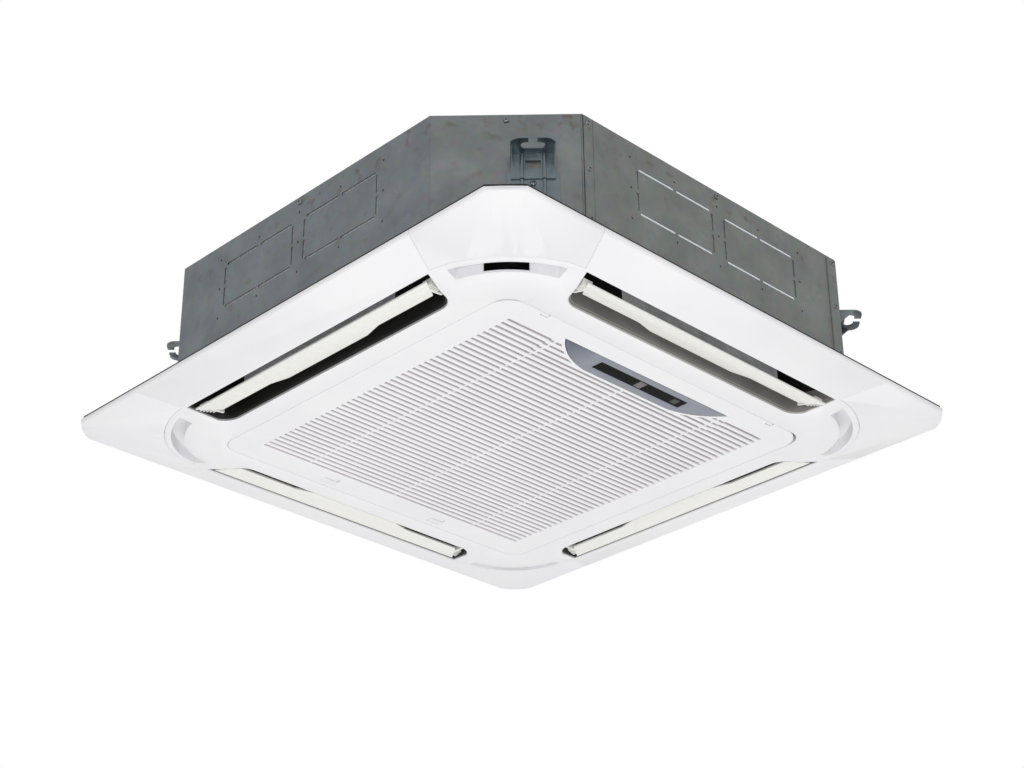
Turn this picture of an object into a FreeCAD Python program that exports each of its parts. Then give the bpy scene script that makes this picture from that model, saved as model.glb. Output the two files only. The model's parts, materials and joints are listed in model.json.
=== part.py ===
import FreeCAD, Part
import math
import os

# Four-way ceiling cassette air conditioner, millimetres, +Z up, display side at -Y.
# Heights below are taken from the plane of the panel's rim, which meets the ceiling.
# The parts are written out with the origin at the centre of the hanger slots,
# on the plane where the hanger washers bear.

V = FreeCAD.Vector
os.makedirs("parts", exist_ok=True)
over = 2.0

# Grille and panel, each size a step outward from the one before
grille_half = 309.0
grille_r = 28.0
seam = 1.0
slot_inset = 36.0
slot_w = 63.0
flat_step = 16.0
flat_r = 99.0
border_w = 67.0
corner_leg = 39.0
corner_bow = 6.0
rim_bow = 1.0
face_drop = 34.0
lip_h = 6.0
roll_r = 6.0
roll_steps = 5
skin_t = 3.0
collar_t = 2.5
slot_in = grille_half + slot_inset
slot_out = slot_in + slot_w
flat_half = slot_in + flat_step
panel_half = slot_out + border_w
face_z = -face_drop

# Air outlets and the pockets between them
slot_slant = 22.6
slot_r = 30.0
slot_lip_r = 5.0
liner_t = 2.0
liner_up = 6.0
arc_c = flat_half - flat_r
slot_end_out = arc_c
slot_end_in = slot_end_out - slot_slant
seam_step = 4.0
pocket_step = 10.0
pocket_w = 20.0
pocket_edge_deg = 11.0
pocket_top = 26.0
window_from_deg = 30.0
window_to_deg = 59.0
window_rise = 7.0
window_h = 15.0
cover_gap = 0.5
seam_r = slot_out + seam_step - arc_c
pocket_out = seam_r - pocket_step
pocket_in = pocket_out - pocket_w
cover_seam_x = 6.0
cover_seam_dx = 28.0
cover_seam_dy = 58.0
right_angle_deg = 90.0
half_turn_deg = 180.0
diagonal_deg = 45.0
quarters = 4

# Casing of galvanised sheet
panel_overhang = 55.0
casing_half = panel_half - panel_overhang
casing_leg = 145.0
casing_z = 3.0
casing_h = 212.0
sheet_t = 1.0
sheet_gap = 0.1
top_flange = 16.0
foot_flange = 5.0
return_flange = 24.0
casing_top = casing_z + casing_h
wall_half = casing_half - casing_leg
root2 = math.sqrt(2)
chamfer_s = (casing_half + wall_half) / root2

# Knock-outs and the small holes round them
knock_w = 160.0
knock_h = 75.0
knock_gap = 22.0
knock_z = 99.0
slit_w = 4.0
slit_bridge = 6.0
pilot_r = 1.8
pilot_col = 91.0
pilot_row = 49.5
strip_inset = 10.0
screw_top_drop = 9.0
strip_screw_z = (50.0, 128.0)

# Screws
screw_r = 1.9
screw_len = 9.0
screw_head_r = 4.3
screw_head_h = 2.4
recess_w = 1.1
recess_l = 5.0
recess_d = 1.2

# Hanger brackets
hang_x = 680.0
hang_y = 780.0
leg_up = 145.0
leg_t = 2.5
leg_w = 60.0
leg_out = 42.0
leg_round = 14.0
slot_len = 33.0
slot_wide = 14.0
mouth_w = 12.0
plate_w = 70.0
plate_t = 2.0
plate_foot = 9.0
plate_up = 117.0
web_foot = 106.0
rib_gap = 30.0
rib_r = 2.6
rib_foot = 60.0
gusset_h = 20.0
lance_w = 21.0
lance_h = 13.0
lance_up = 122.0
hanger_screw_up = 100.0
hanger_low_up = 40.0
hanger_low_x = 22.0
leg_z = casing_z + leg_up
hang_s = (hang_x + hang_y) / 2 / root2
hang_u = (hang_y - hang_x) / 2 / root2

# Tabs that carry the panel, and their bolts
lug_w = 40.0
lug_out = 38.0
lug_h = 22.0
lug_t = 2.0
lug_u = -28.0
bolt_out = 28.0
bolt_r = 2.9
bolt_fit = 0.3
bolt_head_r = 6.0
bolt_head_h = 4.5
bolt_tip = 9.0
washer_t = 1.5
washer_r = 7.5
web_t = 2.5

# Seals
rim_seal_w = 8.0
rim_seal_in = 3.0
rim_seal_h = 5.0
duct_seal_w = 5.0

# Wiring pad on the right chamfer
cable_pad_w = 96.0
cable_pad_h = 92.0
cable_pad_t = 10.0
cable_pad_foot = 35.0
cable_pad_u = -53.0
cable_r = 11.0

# Drain pan and what stands in it
pan_h = 58.0
pan_gap = 0.2
pan_recess = 271.0
pan_recess_up = 34.0
pan_hole = 236.0
pan_r = 40.0
trough_in = 281.0
trough_w = 56.0
trough_floor = 22.0
trough_r = 30.0
coil_rest = 18.0
rest_len = 24.0
plug_r = 11.0
plug_cap_r = 13.5
plug_out = 9.0
plug_cap_h = 2.0
pan_z = casing_z + sheet_t
pan_top = pan_z + pan_h
liner_wall = 8.0

# Ring coil
coil_t = 44.0
coil_gap = 6.0
coil_r = 60.0
coil_end = 200.0
end_plate_t = 1.5
end_plate_lap = 2.0
tube_r = 3.6
tube_pitch = 20.0
tube_rows = 7
tube_row_gap = 22.0
coil_in = trough_in + coil_gap - 2 * end_plate_lap
coil_out = coil_in + coil_t
coil_z = pan_z + trough_floor + coil_rest

# Pipes
gas_r = 7.94
liquid_r = 4.76
header_r = 9.0
liquid_header_r = 6.0
pipe_up = 158.0
gas_u = -34.0
liquid_u = -72.0
pipe_out = 46.0
pipe_in = 66.0
header_step = 24.0
pipe_plate_w = 92.0
pipe_plate_h = 44.0
pipe_plate_t = 1.5
pipe_fit = 0.5
gas_thread_r = 11.1
liquid_thread_r = 7.94
thread_len = 18.0
union_hex_r = 14.5
liquid_hex_r = 10.5
union_hex_len = 10.0
hex_sides = 6

# Fan and motor
fan_r = 220.0
fan_in_r = 166.0
fan_z = 76.0
fan_h = 112.0
fan_skin = 2.5
shroud_rise = 28.0
hub_r = 104.0
hub_drop = 74.0
hub_tip_r = 80.0
boss_r = 16.0
boss_h = 20.0
blade_count = 7
blade_t = 3.5
blade_in_r = 128.0
blade_sweep_deg = 42.0
blade_bow = 12.0
motor_r = 70.0
motor_h = 62.0
motor_drop = 14.0
shaft_r = 6.0
shaft_fit = 0.05
ear_r = 15.0
ear_reach = 86.0
ear_t = 4.0
ear_count = 4
grommet_r = 12.0
motor_bolt_r = 3.2
motor_bolt_head_r = 6.0
motor_bolt_head_h = 5.0
nut_r = 10.0
nut_h = 7.0
mouth_plate_half = 270.0
mouth_t = 2.5
mouth_base_r = 200.0
mouth_throat_r = 156.0
mouth_rise = 46.0
mouth_screw_at = 250.0

# Drain pump, float switch and outlet
pump_r = 30.0
pump_h = 50.0
pump_foot = 60.0
cup_r = 20.0
cup_t = 2.0
impeller_r = 14.0
impeller_h = 14.0
impeller_lift = 6.0
impeller_shaft_r = 3.0
vane_t = 2.0
hose_r = 12.0
hose_bore = 9.5
hose_up = 90.0
spigot_r = 16.0
spigot_bore = 13.0
spigot_len = 42.0
spigot_flange_r = 26.0
spigot_flange_t = 3.0
spigot_y = 244.0
float_x = 240.0
stem_r = 4.0
stem_head_r = 11.0
stem_head_h = 12.0
float_r = 13.0
float_bore = 4.1
float_h = 18.0
stem_stop_r = 7.0
stem_stop_h = 2.0
arm_t = 2.0
arm_w = 24.0

# Electrical box
box_len = 396.0
box_deep = 60.0
box_h = 40.0
box_wall = 1.2
box_gap = 2.0
board_len = 250.0
board_deep = 48.0
board_t = 1.6
board_up = 8.0
post_r = 3.0
chip_h = 12.0
term_len = 84.0
term_deep = 26.0
term_h = 20.0

# Intake grille, filter and latches
plate_thick = 2.5
rim_wall = 2.0
rim_up = 9.0
slat_half = 268.0
slat_depth = 10.0
slat_pitch = 11.87
slat_gap = 4.7
slat_count = 45
slat_end = 4.0
rib_shares = (-0.64, 0.0, 0.634)
cross_w = 4.0
cross_h = 8.8
hinge_in = 5.0
hinge_up = 2.5
hinge_corner_r = 36.0
hinge_x = 235.0
pin_r = 1.2
pin_fit = 0.1
knuckle_w = 12.0
knuckle_gap = 1.0
pin_seat = 9.0
filter_half = 266.0
filter_front = 214.0
filter_h = 5.0
filter_rim = 7.0
filter_mesh_t = 0.8
filter_rib_w = 3.0
filter_cells = 6
latch_x = 111.0
latch_in = 16.0
latch_w = 24.0
latch_d = 10.0
latch_travel = 8.0
latch_gap = 0.6
latch_plate_t = 2.0
latch_lap = 5.0
latch_grip = 0.6

# Display
disp_half = 168.0
disp_flat = 86.0
disp_mid = 138.0
disp_mid_d = 26.0
disp_d = 44.5
disp_in = 30.5
disp_gap = 1.0
disp_border = 5.0
disp_t = 3.0
disp_h = 13.0
disp_wall = 2.0
disp_arm_x = 118.0
disp_arm_w = 26.0
disp_arm_t = 2.0
disp_arm_up = 14.0
win_half = 90.0
win_d = 20.0
win_in = 11.5
win_t = 1.5
win_x = 5.0
eye_x = 4.0
eye_w = 14.0
button_x = 78.0
button_w = 12.0
button_d = 12.0
button_gap = 0.3
button_len = 6.0

# Louvers
louver_out = 7.5
louver_w = 32.5
louver_bulge = 8.5
louver_half = 250.0
louver_slant = 23.0
bulge_half = 85.0
bulge_run = 32.0
bulge_round = 12.0
louver_t = 3.0
louver_z = 23.5
pivot_in = 42.0
pivot_z = 16.0
pivot_r = 3.0
pivot_fit = 0.1
pivot_boss_r = 7.0
arm_x = 234.0
ear_out = 26.0
ear_in = 6.0
front_tilt_deg = -14.0
left_tilt_deg = -6.0
comb_count = 5
comb_t = 1.4
comb_clear = 5.0
step_r = 11.5
step_gap = 0.5
step_len = 13.0
step_offset = 8.0
step_shaft_r = 2.4
step_shaft_len = 2.6

pivot_d = slot_out - pivot_in
hinge_y = -(grille_half - hinge_in)
hinge_z = face_z + hinge_up
disp_y = -(grille_half - disp_in)
slat_top = face_z + slat_depth
ceil_under = casing_top - sheet_t
fan_top = fan_z + fan_h


def box(x0, x1, y0, y1, z0, z1):
    return Part.makeBox(x1 - x0, y1 - y0, z1 - z0, V(x0, y0, z0))


def cyl(r, z0, z1, x=0.0, y=0.0):
    return Part.makeCylinder(r, z1 - z0, V(x, y, z0))


def rod(r, a, b):
    return Part.makeCylinder(r, (b - a).Length, a, b - a)


def fuse(shapes):
    return shapes[0].multiFuse(shapes[1:]).removeSplitter()


def spun(shape, deg):
    out = shape.copy()
    out.rotate(V(), V(0, 0, 1), deg)
    return out


def moved(shape, x=0.0, y=0.0, z=0.0):
    out = shape.copy()
    out.translate(V(x, y, z))
    return out


def save(name, shape):
    out = shape.copy()
    out.translate(V(0, 0, -leg_z))
    out.exportStep("parts/" + name + ".step")


def square(half):
    return [(-half, -half), (half, -half), (half, half), (-half, half)]


def octagon(half, leg):
    s = half - leg
    return [
        (-s, -half),
        (s, -half),
        (half, -s),
        (half, s),
        (s, half),
        (-s, half),
        (-half, s),
        (-half, -s),
    ]


def inset_leg(leg, t):
    return leg - t * (2 - root2)


def grown(points, g):
    """A convex outline with each side moved outward by g."""
    n = len(points)
    lines = []
    for i in range(n):
        a = V(points[i][0], points[i][1], 0)
        b = V(points[(i + 1) % n][0], points[(i + 1) % n][1], 0)
        d = (b - a).normalize()
        lines.append((a + V(d.y, -d.x, 0) * g, d))
    out = []
    for i in range(n):
        p, d = lines[i - 1]
        q, e = lines[i]
        k = d.x * e.y - d.y * e.x
        t = ((q.x - p.x) * e.y - (q.y - p.y) * e.x) / k
        out.append((p.x + d.x * t, p.y + d.y * t))
    return out


def wire(points, z, radii=None):
    """A closed outline at height z whose corners are rounded by the radii."""
    n = len(points)
    pts = [V(p[0], p[1], z) for p in points]
    radii = radii or [0] * n
    edges = []
    start = None
    last = None
    for i in range(n):
        c = pts[i]
        r = radii[i]
        if r:
            a = (pts[i - 1] - c).normalize()
            b = (pts[(i + 1) % n] - c).normalize()
            half = a.getAngle(b) / 2
            cut = r / math.tan(half)
            p = c + a * cut
            q = c + b * cut
            mid = (a + b).normalize()
            m = c + mid * (r / math.sin(half) - r)
        else:
            p = c
            q = c
        if last is not None:
            edges.append(Part.makeLine(last, p))
        else:
            start = p
        if r:
            edges.append(Part.Arc(p, m, q).toShape())
        last = q
    edges.append(Part.makeLine(last, start))
    return Part.Wire(edges)


def slab(points, z0, z1, radii=None):
    return Part.Face(wire(points, z0, radii)).extrude(V(0, 0, z1 - z0))


def round_square(half, r, z0, z1):
    return slab(square(half), z0, z1, [r] * quarters)


def slot_points(grow=0.0):
    pts = [
        (-slot_end_out, -slot_out),
        (slot_end_out, -slot_out),
        (slot_end_in, -slot_in),
        (-slot_end_in, -slot_in),
    ]
    return grown(pts, grow)


def slot_wire(grow, z):
    r = slot_r + grow
    return wire(slot_points(grow), z, [0, 0, r, r])


def slot_body(grow, z0, z1):
    return Part.Face(slot_wire(grow, z0)).extrude(V(0, 0, z1 - z0))


def slot_lip():
    """The rounded lower edge of an outlet."""
    wires = [slot_wire(slot_lip_r, face_z - over)]
    for i in range(quarters + 1):
        a = math.radians(right_angle_deg * i / quarters)
        grow = slot_lip_r * (1 - math.sin(a))
        wires.append(slot_wire(grow, face_z + slot_lip_r * (1 - math.cos(a))))
    return Part.makeLoft(wires, True, True)


def front_to_sides(shape):
    return [spun(shape, right_angle_deg * k) for k in range(quarters)]


def at_corners(shape):
    """A piece made against the front is turned to the near corner and mirrored."""
    near = spun(shape, -diagonal_deg)
    right = near.mirror(V(), V(1, 0, 0))
    far = near.mirror(V(), V(0, 1, 0))
    return [near, right, far, right.mirror(V(), V(0, 1, 0))]


def skin_body(inset, top):
    """The panel's outer form: a flat face, sloped sides, a rolled edge and a lip."""
    tan_s = (face_drop - lip_h) / (panel_half - flat_half)
    s = math.atan(tan_s)
    half = panel_half - inset
    r = roll_r
    xs = half - r + r * math.sin(s)
    zs = -lip_h + inset + (xs - half) * tan_s
    zc = zs + r * math.cos(s)
    wires = [flat_wire(face_z + inset)]
    for i in range(roll_steps + 1):
        a = s + (math.pi / 2 - s) * i / roll_steps
        h = half - r + r * math.sin(a)
        bow = corner_bow + (rim_bow - corner_bow) * i / roll_steps
        wires.append(rim_wire(h, inset_leg(corner_leg, panel_half - h), zc - r * math.cos(a), bow))
    wires.append(rim_wire(half, inset_leg(corner_leg, inset), max(top, zc + over / 2), rim_bow))
    body = Part.makeLoft(wires, True, True)
    return body


def rim_wire(half, leg, z, bow):
    """The rim's outline: four sides and four bowed corners, first side first."""
    pts = [V(x, y, z) for x, y in octagon(half, leg)]
    edges = []
    for i, a in enumerate(pts):
        b = pts[(i + 1) % len(pts)]
        if i % 2:
            mid = (a + b) / 2
            out = V(mid.x, mid.y, 0).normalize()
            edges.append(Part.Arc(a, mid + out * bow, b).toShape())
        else:
            edges.append(Part.makeLine(a, b))
    return Part.Wire(edges)


def flat_wire(z):
    """The flat face's outline as four sides and four corner arcs, first side first."""
    h = flat_half
    s = flat_half - flat_r
    k = flat_r * (1 - 1 / root2)
    edges = []
    for i in range(quarters):
        a = math.radians(right_angle_deg * i)
        c, d = math.cos(a), math.sin(a)

        def turn(x, y):
            return V(x * c - y * d, x * d + y * c, z)

        edges.append(Part.makeLine(turn(-s, -h), turn(s, -h)))
        edges.append(Part.Arc(turn(s, -h), turn(h - k, -h + k), turn(h, -s)).toShape())
    return Part.Wire(edges)


def arc_body(r0, r1, a0, a1, z0, z1):
    """A ring sector about the arc centre of the corner at -X -Y."""
    ring = Part.makeCylinder(r1, z1 - z0, V(-arc_c, -arc_c, z0), V(0, 0, 1), a1 - a0)
    ring.rotate(V(-arc_c, -arc_c, z0), V(0, 0, 1), half_turn_deg + a0)
    return ring.cut(cyl(r0, z0 - over, z1 + over, -arc_c, -arc_c))


def cover_zone(gap, z0, z1):
    """The part of the corner at -X -Y that its cover takes up."""
    c = arc_c
    k = cover_seam_x - gap
    reach = border_w / cover_seam_dy + 1
    far = panel_half + border_w
    ex = c + k + cover_seam_dx * reach
    ey = slot_out + seam_step + cover_seam_dy * reach
    side = c + k
    edge = slot_out + seam_step
    pts = [(-c, -c), (-edge, -side), (-ey, -ex), (-far, -far), (-ex, -ey), (-side, -edge)]
    return slab(pts, z0, z1).cut(cyl(seam_r - gap, z0 - over, z1 + over, -c, -c))


def display_points(grow=0.0):
    pts = [(-disp_half, 0.0), (disp_half, 0.0), (disp_mid, disp_mid_d), (disp_flat, disp_d)]
    pts = pts + [(-disp_flat, disp_d), (-disp_mid, disp_mid_d)]
    return grown([(x, disp_y + y) for x, y in pts], grow)


def display_body(grow, z0, z1):
    p = [V(x, y, z0) for x, y in display_points(grow)]
    edges = [Part.makeLine(p[0], p[1])]
    right = Part.BSplineCurve()
    right.interpolate([p[1], p[2], p[3]])
    edges.append(right.toShape())
    edges.append(Part.makeLine(p[3], p[4]))
    left = Part.BSplineCurve()
    left.interpolate([p[4], p[5], p[0]])
    edges.append(left.toShape())
    return Part.Face(Part.Wire(edges)).extrude(V(0, 0, z1 - z0))


def screw():
    """A pan-head screw whose head stands out toward -Y from the plane y = 0."""
    k = screw_head_h
    ball = (screw_head_r * screw_head_r + k * k) / (2 * k)
    dome = Part.makeSphere(ball, V(0, ball - k, 0))
    head = dome.common(box(-ball, ball, -k, 0, -ball, ball))
    shank = rod(screw_r, V(0, 0, 0), V(0, screw_len, 0))
    w = recess_w / 2
    n = recess_l / 2
    cross = fuse([box(-w, w, -k - over, recess_d - k, -n, n), box(-n, n, -k - over, recess_d - k, -w, w)])
    return head.fuse(shank).cut(cross)


def wall_screw_places():
    """Screw places on the front wall's plane: (x, z) of those at its two end strips."""
    zs = [casing_z + z for z in strip_screw_z] + [casing_top - screw_top_drop]
    x = wall_half - strip_inset
    return [(side * x, z) for side in (-1, 1) for z in zs]


def hanger_screw_places():
    low = casing_z + hanger_low_up
    up = casing_z + hanger_screw_up
    return [(hang_u, up), (hang_u - hanger_low_x, low), (hang_u + hanger_low_x, low)]


def sheet_screws():
    one = screw()
    solids = []
    for x, z in wall_screw_places():
        s = moved(one, x, -casing_half, z)
        solids += [s, spun(s, half_turn_deg)]
    solids += front_to_sides(moved(one, 0, -casing_half, casing_top - screw_top_drop))
    solids += at_corners(moved(one, 0, -chamfer_s, casing_top - screw_top_drop))
    for x, z in hanger_screw_places():
        solids += at_corners(moved(one, x, -chamfer_s - plate_t, z))
    one.rotate(V(), V(1, 0, 0), right_angle_deg)
    solids += [moved(one, x, y, mouth_z()) for x, y in mouth_screw_places()]
    return Part.makeCompound(solids)


def screw_holes():
    solids = []
    one = rod(screw_r, V(0, -over, 0), V(0, screw_len + over, 0))
    for x, z in wall_screw_places():
        s = moved(one, x, -casing_half, z)
        solids += [s, spun(s, half_turn_deg)]
    solids += front_to_sides(moved(one, 0, -casing_half, casing_top - screw_top_drop))
    solids += at_corners(moved(one, 0, -chamfer_s, casing_top - screw_top_drop))
    for x, z in hanger_screw_places():
        solids += at_corners(moved(one, x, -chamfer_s - plate_t, z))
    return Part.makeCompound(solids)


def wall_cuts():
    """Slits of two knock-outs and the pilot holes, through the front wall."""
    y0 = -casing_half - over
    y1 = -casing_half + sheet_t + over
    z0 = casing_z + knock_z
    z1 = z0 + knock_h
    zm = (z0 + z1) / 2
    b = slit_bridge / 2
    cuts = []
    for side in (-1, 1):
        a = side * knock_gap / 2
        c = side * (knock_gap / 2 + knock_w)
        x0, x1 = min(a, c), max(a, c)
        xm = (x0 + x1) / 2
        for z in (z0, z1 - slit_w):
            cuts.append(box(x0 + slit_bridge, xm - b, y0, y1, z, z + slit_w))
            cuts.append(box(xm + b, x1 - slit_bridge, y0, y1, z, z + slit_w))
        for x in (x0, x1 - slit_w):
            cuts.append(box(x, x + slit_w, y0, y1, z0 + slit_bridge, zm - b))
            cuts.append(box(x, x + slit_w, y0, y1, zm + b, z1 - slit_bridge))
    for i in range(-2, 3):
        rows = (-1, 1) if i % 2 else (-1, 0, 1)
        for row in rows:
            z = zm + row * pilot_row
            cuts.append(rod(pilot_r, V(i * pilot_col, y0, z), V(i * pilot_col, y1, z)))
    return Part.makeCompound(cuts)


def sheet_ring(half, leg, t, z0, z1):
    inner = octagon(half - t, inset_leg(leg, t))
    return slab(octagon(half, leg), z0, z1).cut(slab(inner, z0 - over, z1 + over))


def casing_shell():
    wall = sheet_ring(casing_half, casing_leg, sheet_t, casing_z, casing_top)
    foot = sheet_ring(casing_half, casing_leg, sheet_t + foot_flange, casing_z, casing_z + sheet_t)
    return wall.fuse(foot)


def lug():
    """A panel tab on the front plane at the chamfer's distance."""
    x0 = lug_u - lug_w / 2
    x1 = lug_u + lug_w / 2
    y = -chamfer_s
    up = box(x0, x1, y - lug_t, y, casing_z, casing_z + lug_h)
    out = box(x0, x1, y - lug_out, y, casing_z, casing_z + lug_t)
    hole = cyl(bolt_r + bolt_fit, casing_z - over, casing_z + lug_t + over, lug_u, y - bolt_out)
    return up.fuse(out).cut(hole)


def casing():
    shell = casing_shell()
    far = casing_half + over
    holes = screw_holes()
    cuts = wall_cuts()
    lugs = at_corners(lug())
    z0 = casing_z - over
    z1 = casing_top + over
    mid = box(-wall_half + sheet_t, wall_half - sheet_t, -far, 0, z0, z1)
    front = shell.common(mid).cut(cuts).cut(holes)
    save("casing_front_wall", front)
    save("casing_back_wall", spun(front, half_turn_deg))
    left = shell.common(box(-far, -wall_half, -far, far, z0, z1))
    y1 = casing_half - sheet_t - sheet_gap
    flange = box(
        -wall_half - over,
        -wall_half + return_flange,
        -y1,
        -y1 + sheet_t,
        casing_z + sheet_t + sheet_gap,
        casing_top - sheet_t,
    )
    flange = flange.cut(cyl(over, casing_z, casing_z + over, -wall_half, -y1))
    back = flange.mirror(V(), V(0, 1, 0))
    left = fuse([left, flange, back, lugs[0], lugs[2]])
    left = left.cut(spun(cuts, -right_angle_deg)).cut(holes)
    save("casing_left_sheet", left)
    right = left.mirror(V(), V(1, 0, 0))
    wall = rod(spigot_r + pipe_fit, spigot_at(-over), spigot_at(spigot_len))
    right = right.cut(wall).cut(pipe_holes()).cut(cable_hole())
    save("casing_right_sheet", right)
    t = sheet_t + sheet_gap
    half = casing_half - t
    leg = inset_leg(casing_leg, t)
    top = slab(octagon(half, leg), ceil_under, casing_top)
    low = casing_top - top_flange
    skirt = sheet_ring(half - sheet_t - sheet_gap, inset_leg(leg, t), sheet_t, low, casing_top)
    top = top.fuse(skirt).cut(holes)
    for k in range(ear_count):
        a = math.radians(diagonal_deg + right_angle_deg * k)
        hole = cyl(
            motor_bolt_r,
            ceil_under - over,
            casing_top + over,
            ear_reach * math.cos(a),
            ear_reach * math.sin(a),
        )
        top = top.cut(hole)
    save("casing_top", top)


def hanger():
    """A hanger on the front plane at the chamfer's distance, its slot at hang_u."""
    y = -chamfer_s
    x = hang_u
    w = plate_w / 2
    n = leg_w / 2
    plate = box(x - w, x + w, y - plate_t, y, casing_z + plate_foot, casing_z + plate_up)
    web = box(x - n, x + n, y - plate_t - leg_t, y - plate_t, casing_z + web_foot, leg_z + leg_t)
    leg = slab(
        [(x - n, y - leg_out), (x + n, y - leg_out), (x + n, y), (x - n, y)],
        leg_z,
        leg_z + leg_t,
        [leg_round, leg_round, 0, 0],
    )
    parts = [plate, web, leg]
    face = y - plate_t - leg_t
    for side in (-1, 1):
        gx = x + side * (n - leg_t / 2)
        pts = [V(gx, y, leg_z), V(gx, y - leg_out + leg_round, leg_z), V(gx, face, leg_z - gusset_h)]
        pts.append(V(gx, y, leg_z - gusset_h))
        tri = Part.Face(Part.makePolygon(pts + [pts[0]])).extrude(V(leg_t, 0, 0))
        tri.translate(V(-leg_t / 2, 0, 0))
        parts.append(tri)
        rx = x + side * rib_gap / 2
        parts.append(rod(rib_r, V(rx, face, casing_z + web_foot), V(rx, face, leg_z)))
        foot = V(rx, y - plate_t, casing_z + rib_foot)
        parts.append(rod(rib_r, foot, V(rx, y - plate_t, casing_z + web_foot)))
    body = fuse(parts)
    sy = -hang_s
    r = slot_wide / 2
    reach = (slot_len - slot_wide) / 2
    hole = fuse(
        [
            cyl(r, leg_z - over, leg_z + leg_t + over, x - reach, sy),
            cyl(r, leg_z - over, leg_z + leg_t + over, x + reach, sy),
            box(x - reach, x + reach, sy - r, sy + r, leg_z - over, leg_z + leg_t + over),
            box(
                x - mouth_w / 2,
                x + mouth_w / 2,
                y - leg_out - over,
                sy,
                leg_z - over,
                leg_z + leg_t + over,
            ),
        ]
    )
    z = casing_z + lance_up
    lance = box(x - lance_w / 2, x + lance_w / 2, face - over - rib_r, y - plate_t, z, z + lance_h)
    back = box(x - w - over, x + w + over, y, y + leg_out, casing_z, leg_z + leg_out)
    return body.cut(hole).cut(lance).cut(back)


def hangers():
    holes = screw_holes()
    names = ("near_left", "near_right", "far_left", "far_right")
    for name, body in zip(names, at_corners(hanger())):
        save("hanger_" + name, body.cut(holes))


def spigot_at(out):
    """A point on the drain outlet's axis, out from the right wall's outer face."""
    return V(casing_half + out, spigot_y, casing_z + hose_up)


def far_corner(u, out, z):
    """A point at the far chamfer: u along it toward +Y, out from its face."""
    s = (chamfer_s + out) / root2
    k = u / root2
    return V(s - k, s + k, z)


def pipe_holes():
    z = casing_z + pipe_up
    gas = rod(gas_r + pipe_fit, far_corner(gas_u, -pipe_in, z), far_corner(gas_u, pipe_out, z))
    liquid = rod(liquid_r + pipe_fit, far_corner(liquid_u, -pipe_in, z), far_corner(liquid_u, pipe_out, z))
    return Part.makeCompound([gas, liquid])


def cable_place():
    return (cable_pad_u, casing_z + cable_pad_foot + cable_pad_h / 2)


def cable_hole():
    x, z = cable_place()
    hole = rod(cable_r, V(x, -chamfer_s - cable_pad_t - over, z), V(x, -chamfer_s + liner_wall * 2, z))
    return at_corners(hole)[1]


def wiring_pad():
    x, z = cable_place()
    w = cable_pad_w / 2
    y = -chamfer_s
    z0 = casing_z + cable_pad_foot
    pad = box(x - w, x + w, y - cable_pad_t, y, z0, z0 + cable_pad_h)
    save("wiring_pad", at_corners(pad)[1].cut(cable_hole()))


def foam_liner():
    t = 2 * (sheet_t + sheet_gap) + sheet_t + sheet_gap
    half = casing_half - t
    leg = inset_leg(casing_leg, t)
    wall = sheet_ring(half, leg, liner_wall, pan_top, ceil_under)
    lid = slab(octagon(half, leg), ceil_under - liner_wall, ceil_under)
    lid = lid.cut(cyl(ear_reach + ear_r + over, pan_top, casing_top))
    body = wall.fuse(lid)
    hose = rod(spigot_r + pipe_fit, spigot_at(-spigot_len), spigot_at(spigot_len))
    body = body.cut(hose).cut(pipe_holes()).cut(cable_hole()).cut(screw_holes())
    save("foam_liner", body)


def pan_cells():
    """The pan is glued up from plain foam blocks that meet at the edges of its openings."""
    low = pan_z - over
    high = pan_top + over
    step = pan_z + pan_recess_up
    cells = []
    marks = (pan_hole, pan_recess, slot_in, slot_out, casing_half)
    for a, b in zip(marks, marks[1:]):
        z0 = step if a == pan_hole else low
        bar = box(-b, b, -b, -a, z0, high)
        end = box(a, b, -a, a, z0, high)
        cells += [bar, end, spun(bar, 2 * right_angle_deg), spun(end, 2 * right_angle_deg)]
    for half, z0, z1 in ((pan_hole, step, high), (pan_recess, low, step)):
        a = half - pan_r
        cells += front_to_sides(box(a, half, -half, -a, z0, z1))
    return cells


def drain_pan():
    t = sheet_t + sheet_gap + sheet_t + pan_gap
    half = casing_half - t
    body = slab(octagon(half, inset_leg(casing_leg, t)), pan_z, pan_top)
    body = body.cut(round_square(pan_recess, pan_r, pan_z - over, pan_z + pan_recess_up))
    body = body.cut(round_square(pan_hole, pan_r, pan_z, pan_top + over))
    outer = round_square(trough_in + trough_w, trough_r, pan_z + trough_floor, pan_top + over)
    inner = round_square(trough_in, pan_r, pan_z + trough_floor - over, pan_top + 2 * over)
    body = body.cut(outer.cut(inner))
    for duct in front_to_sides(slot_body(0.0, pan_z - over, pan_top + over)):
        body = body.cut(duct)
    rest = box(-rest_len / 2, rest_len / 2, -coil_out, -coil_in, pan_z + trough_floor, coil_z)
    body = fuse([body] + front_to_sides(rest))
    d = pump_at().x + plug_out
    plug = cyl(plug_r, pan_z - over, pan_top, d, -d)
    body = body.cut(plug).cut(screw_holes())
    for x, y in mouth_screw_places():
        body = body.cut(cyl(screw_r, pan_z, mouth_z() + screw_len + over, x, y))
    blocks = []
    for cell in pan_cells():
        blocks += body.common(cell).Solids
    save("drain_pan", Part.makeCompound(blocks))
    cork = cyl(plug_r, pan_z, pan_z + trough_floor, d, -d)
    cap = cyl(plug_cap_r, pan_z - plug_cap_h, pan_z, d, -d)
    save("drain_plug", cork.fuse(cap))


def pump_at():
    d = trough_in + trough_w / 2
    return V(d, d, 0)


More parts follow.
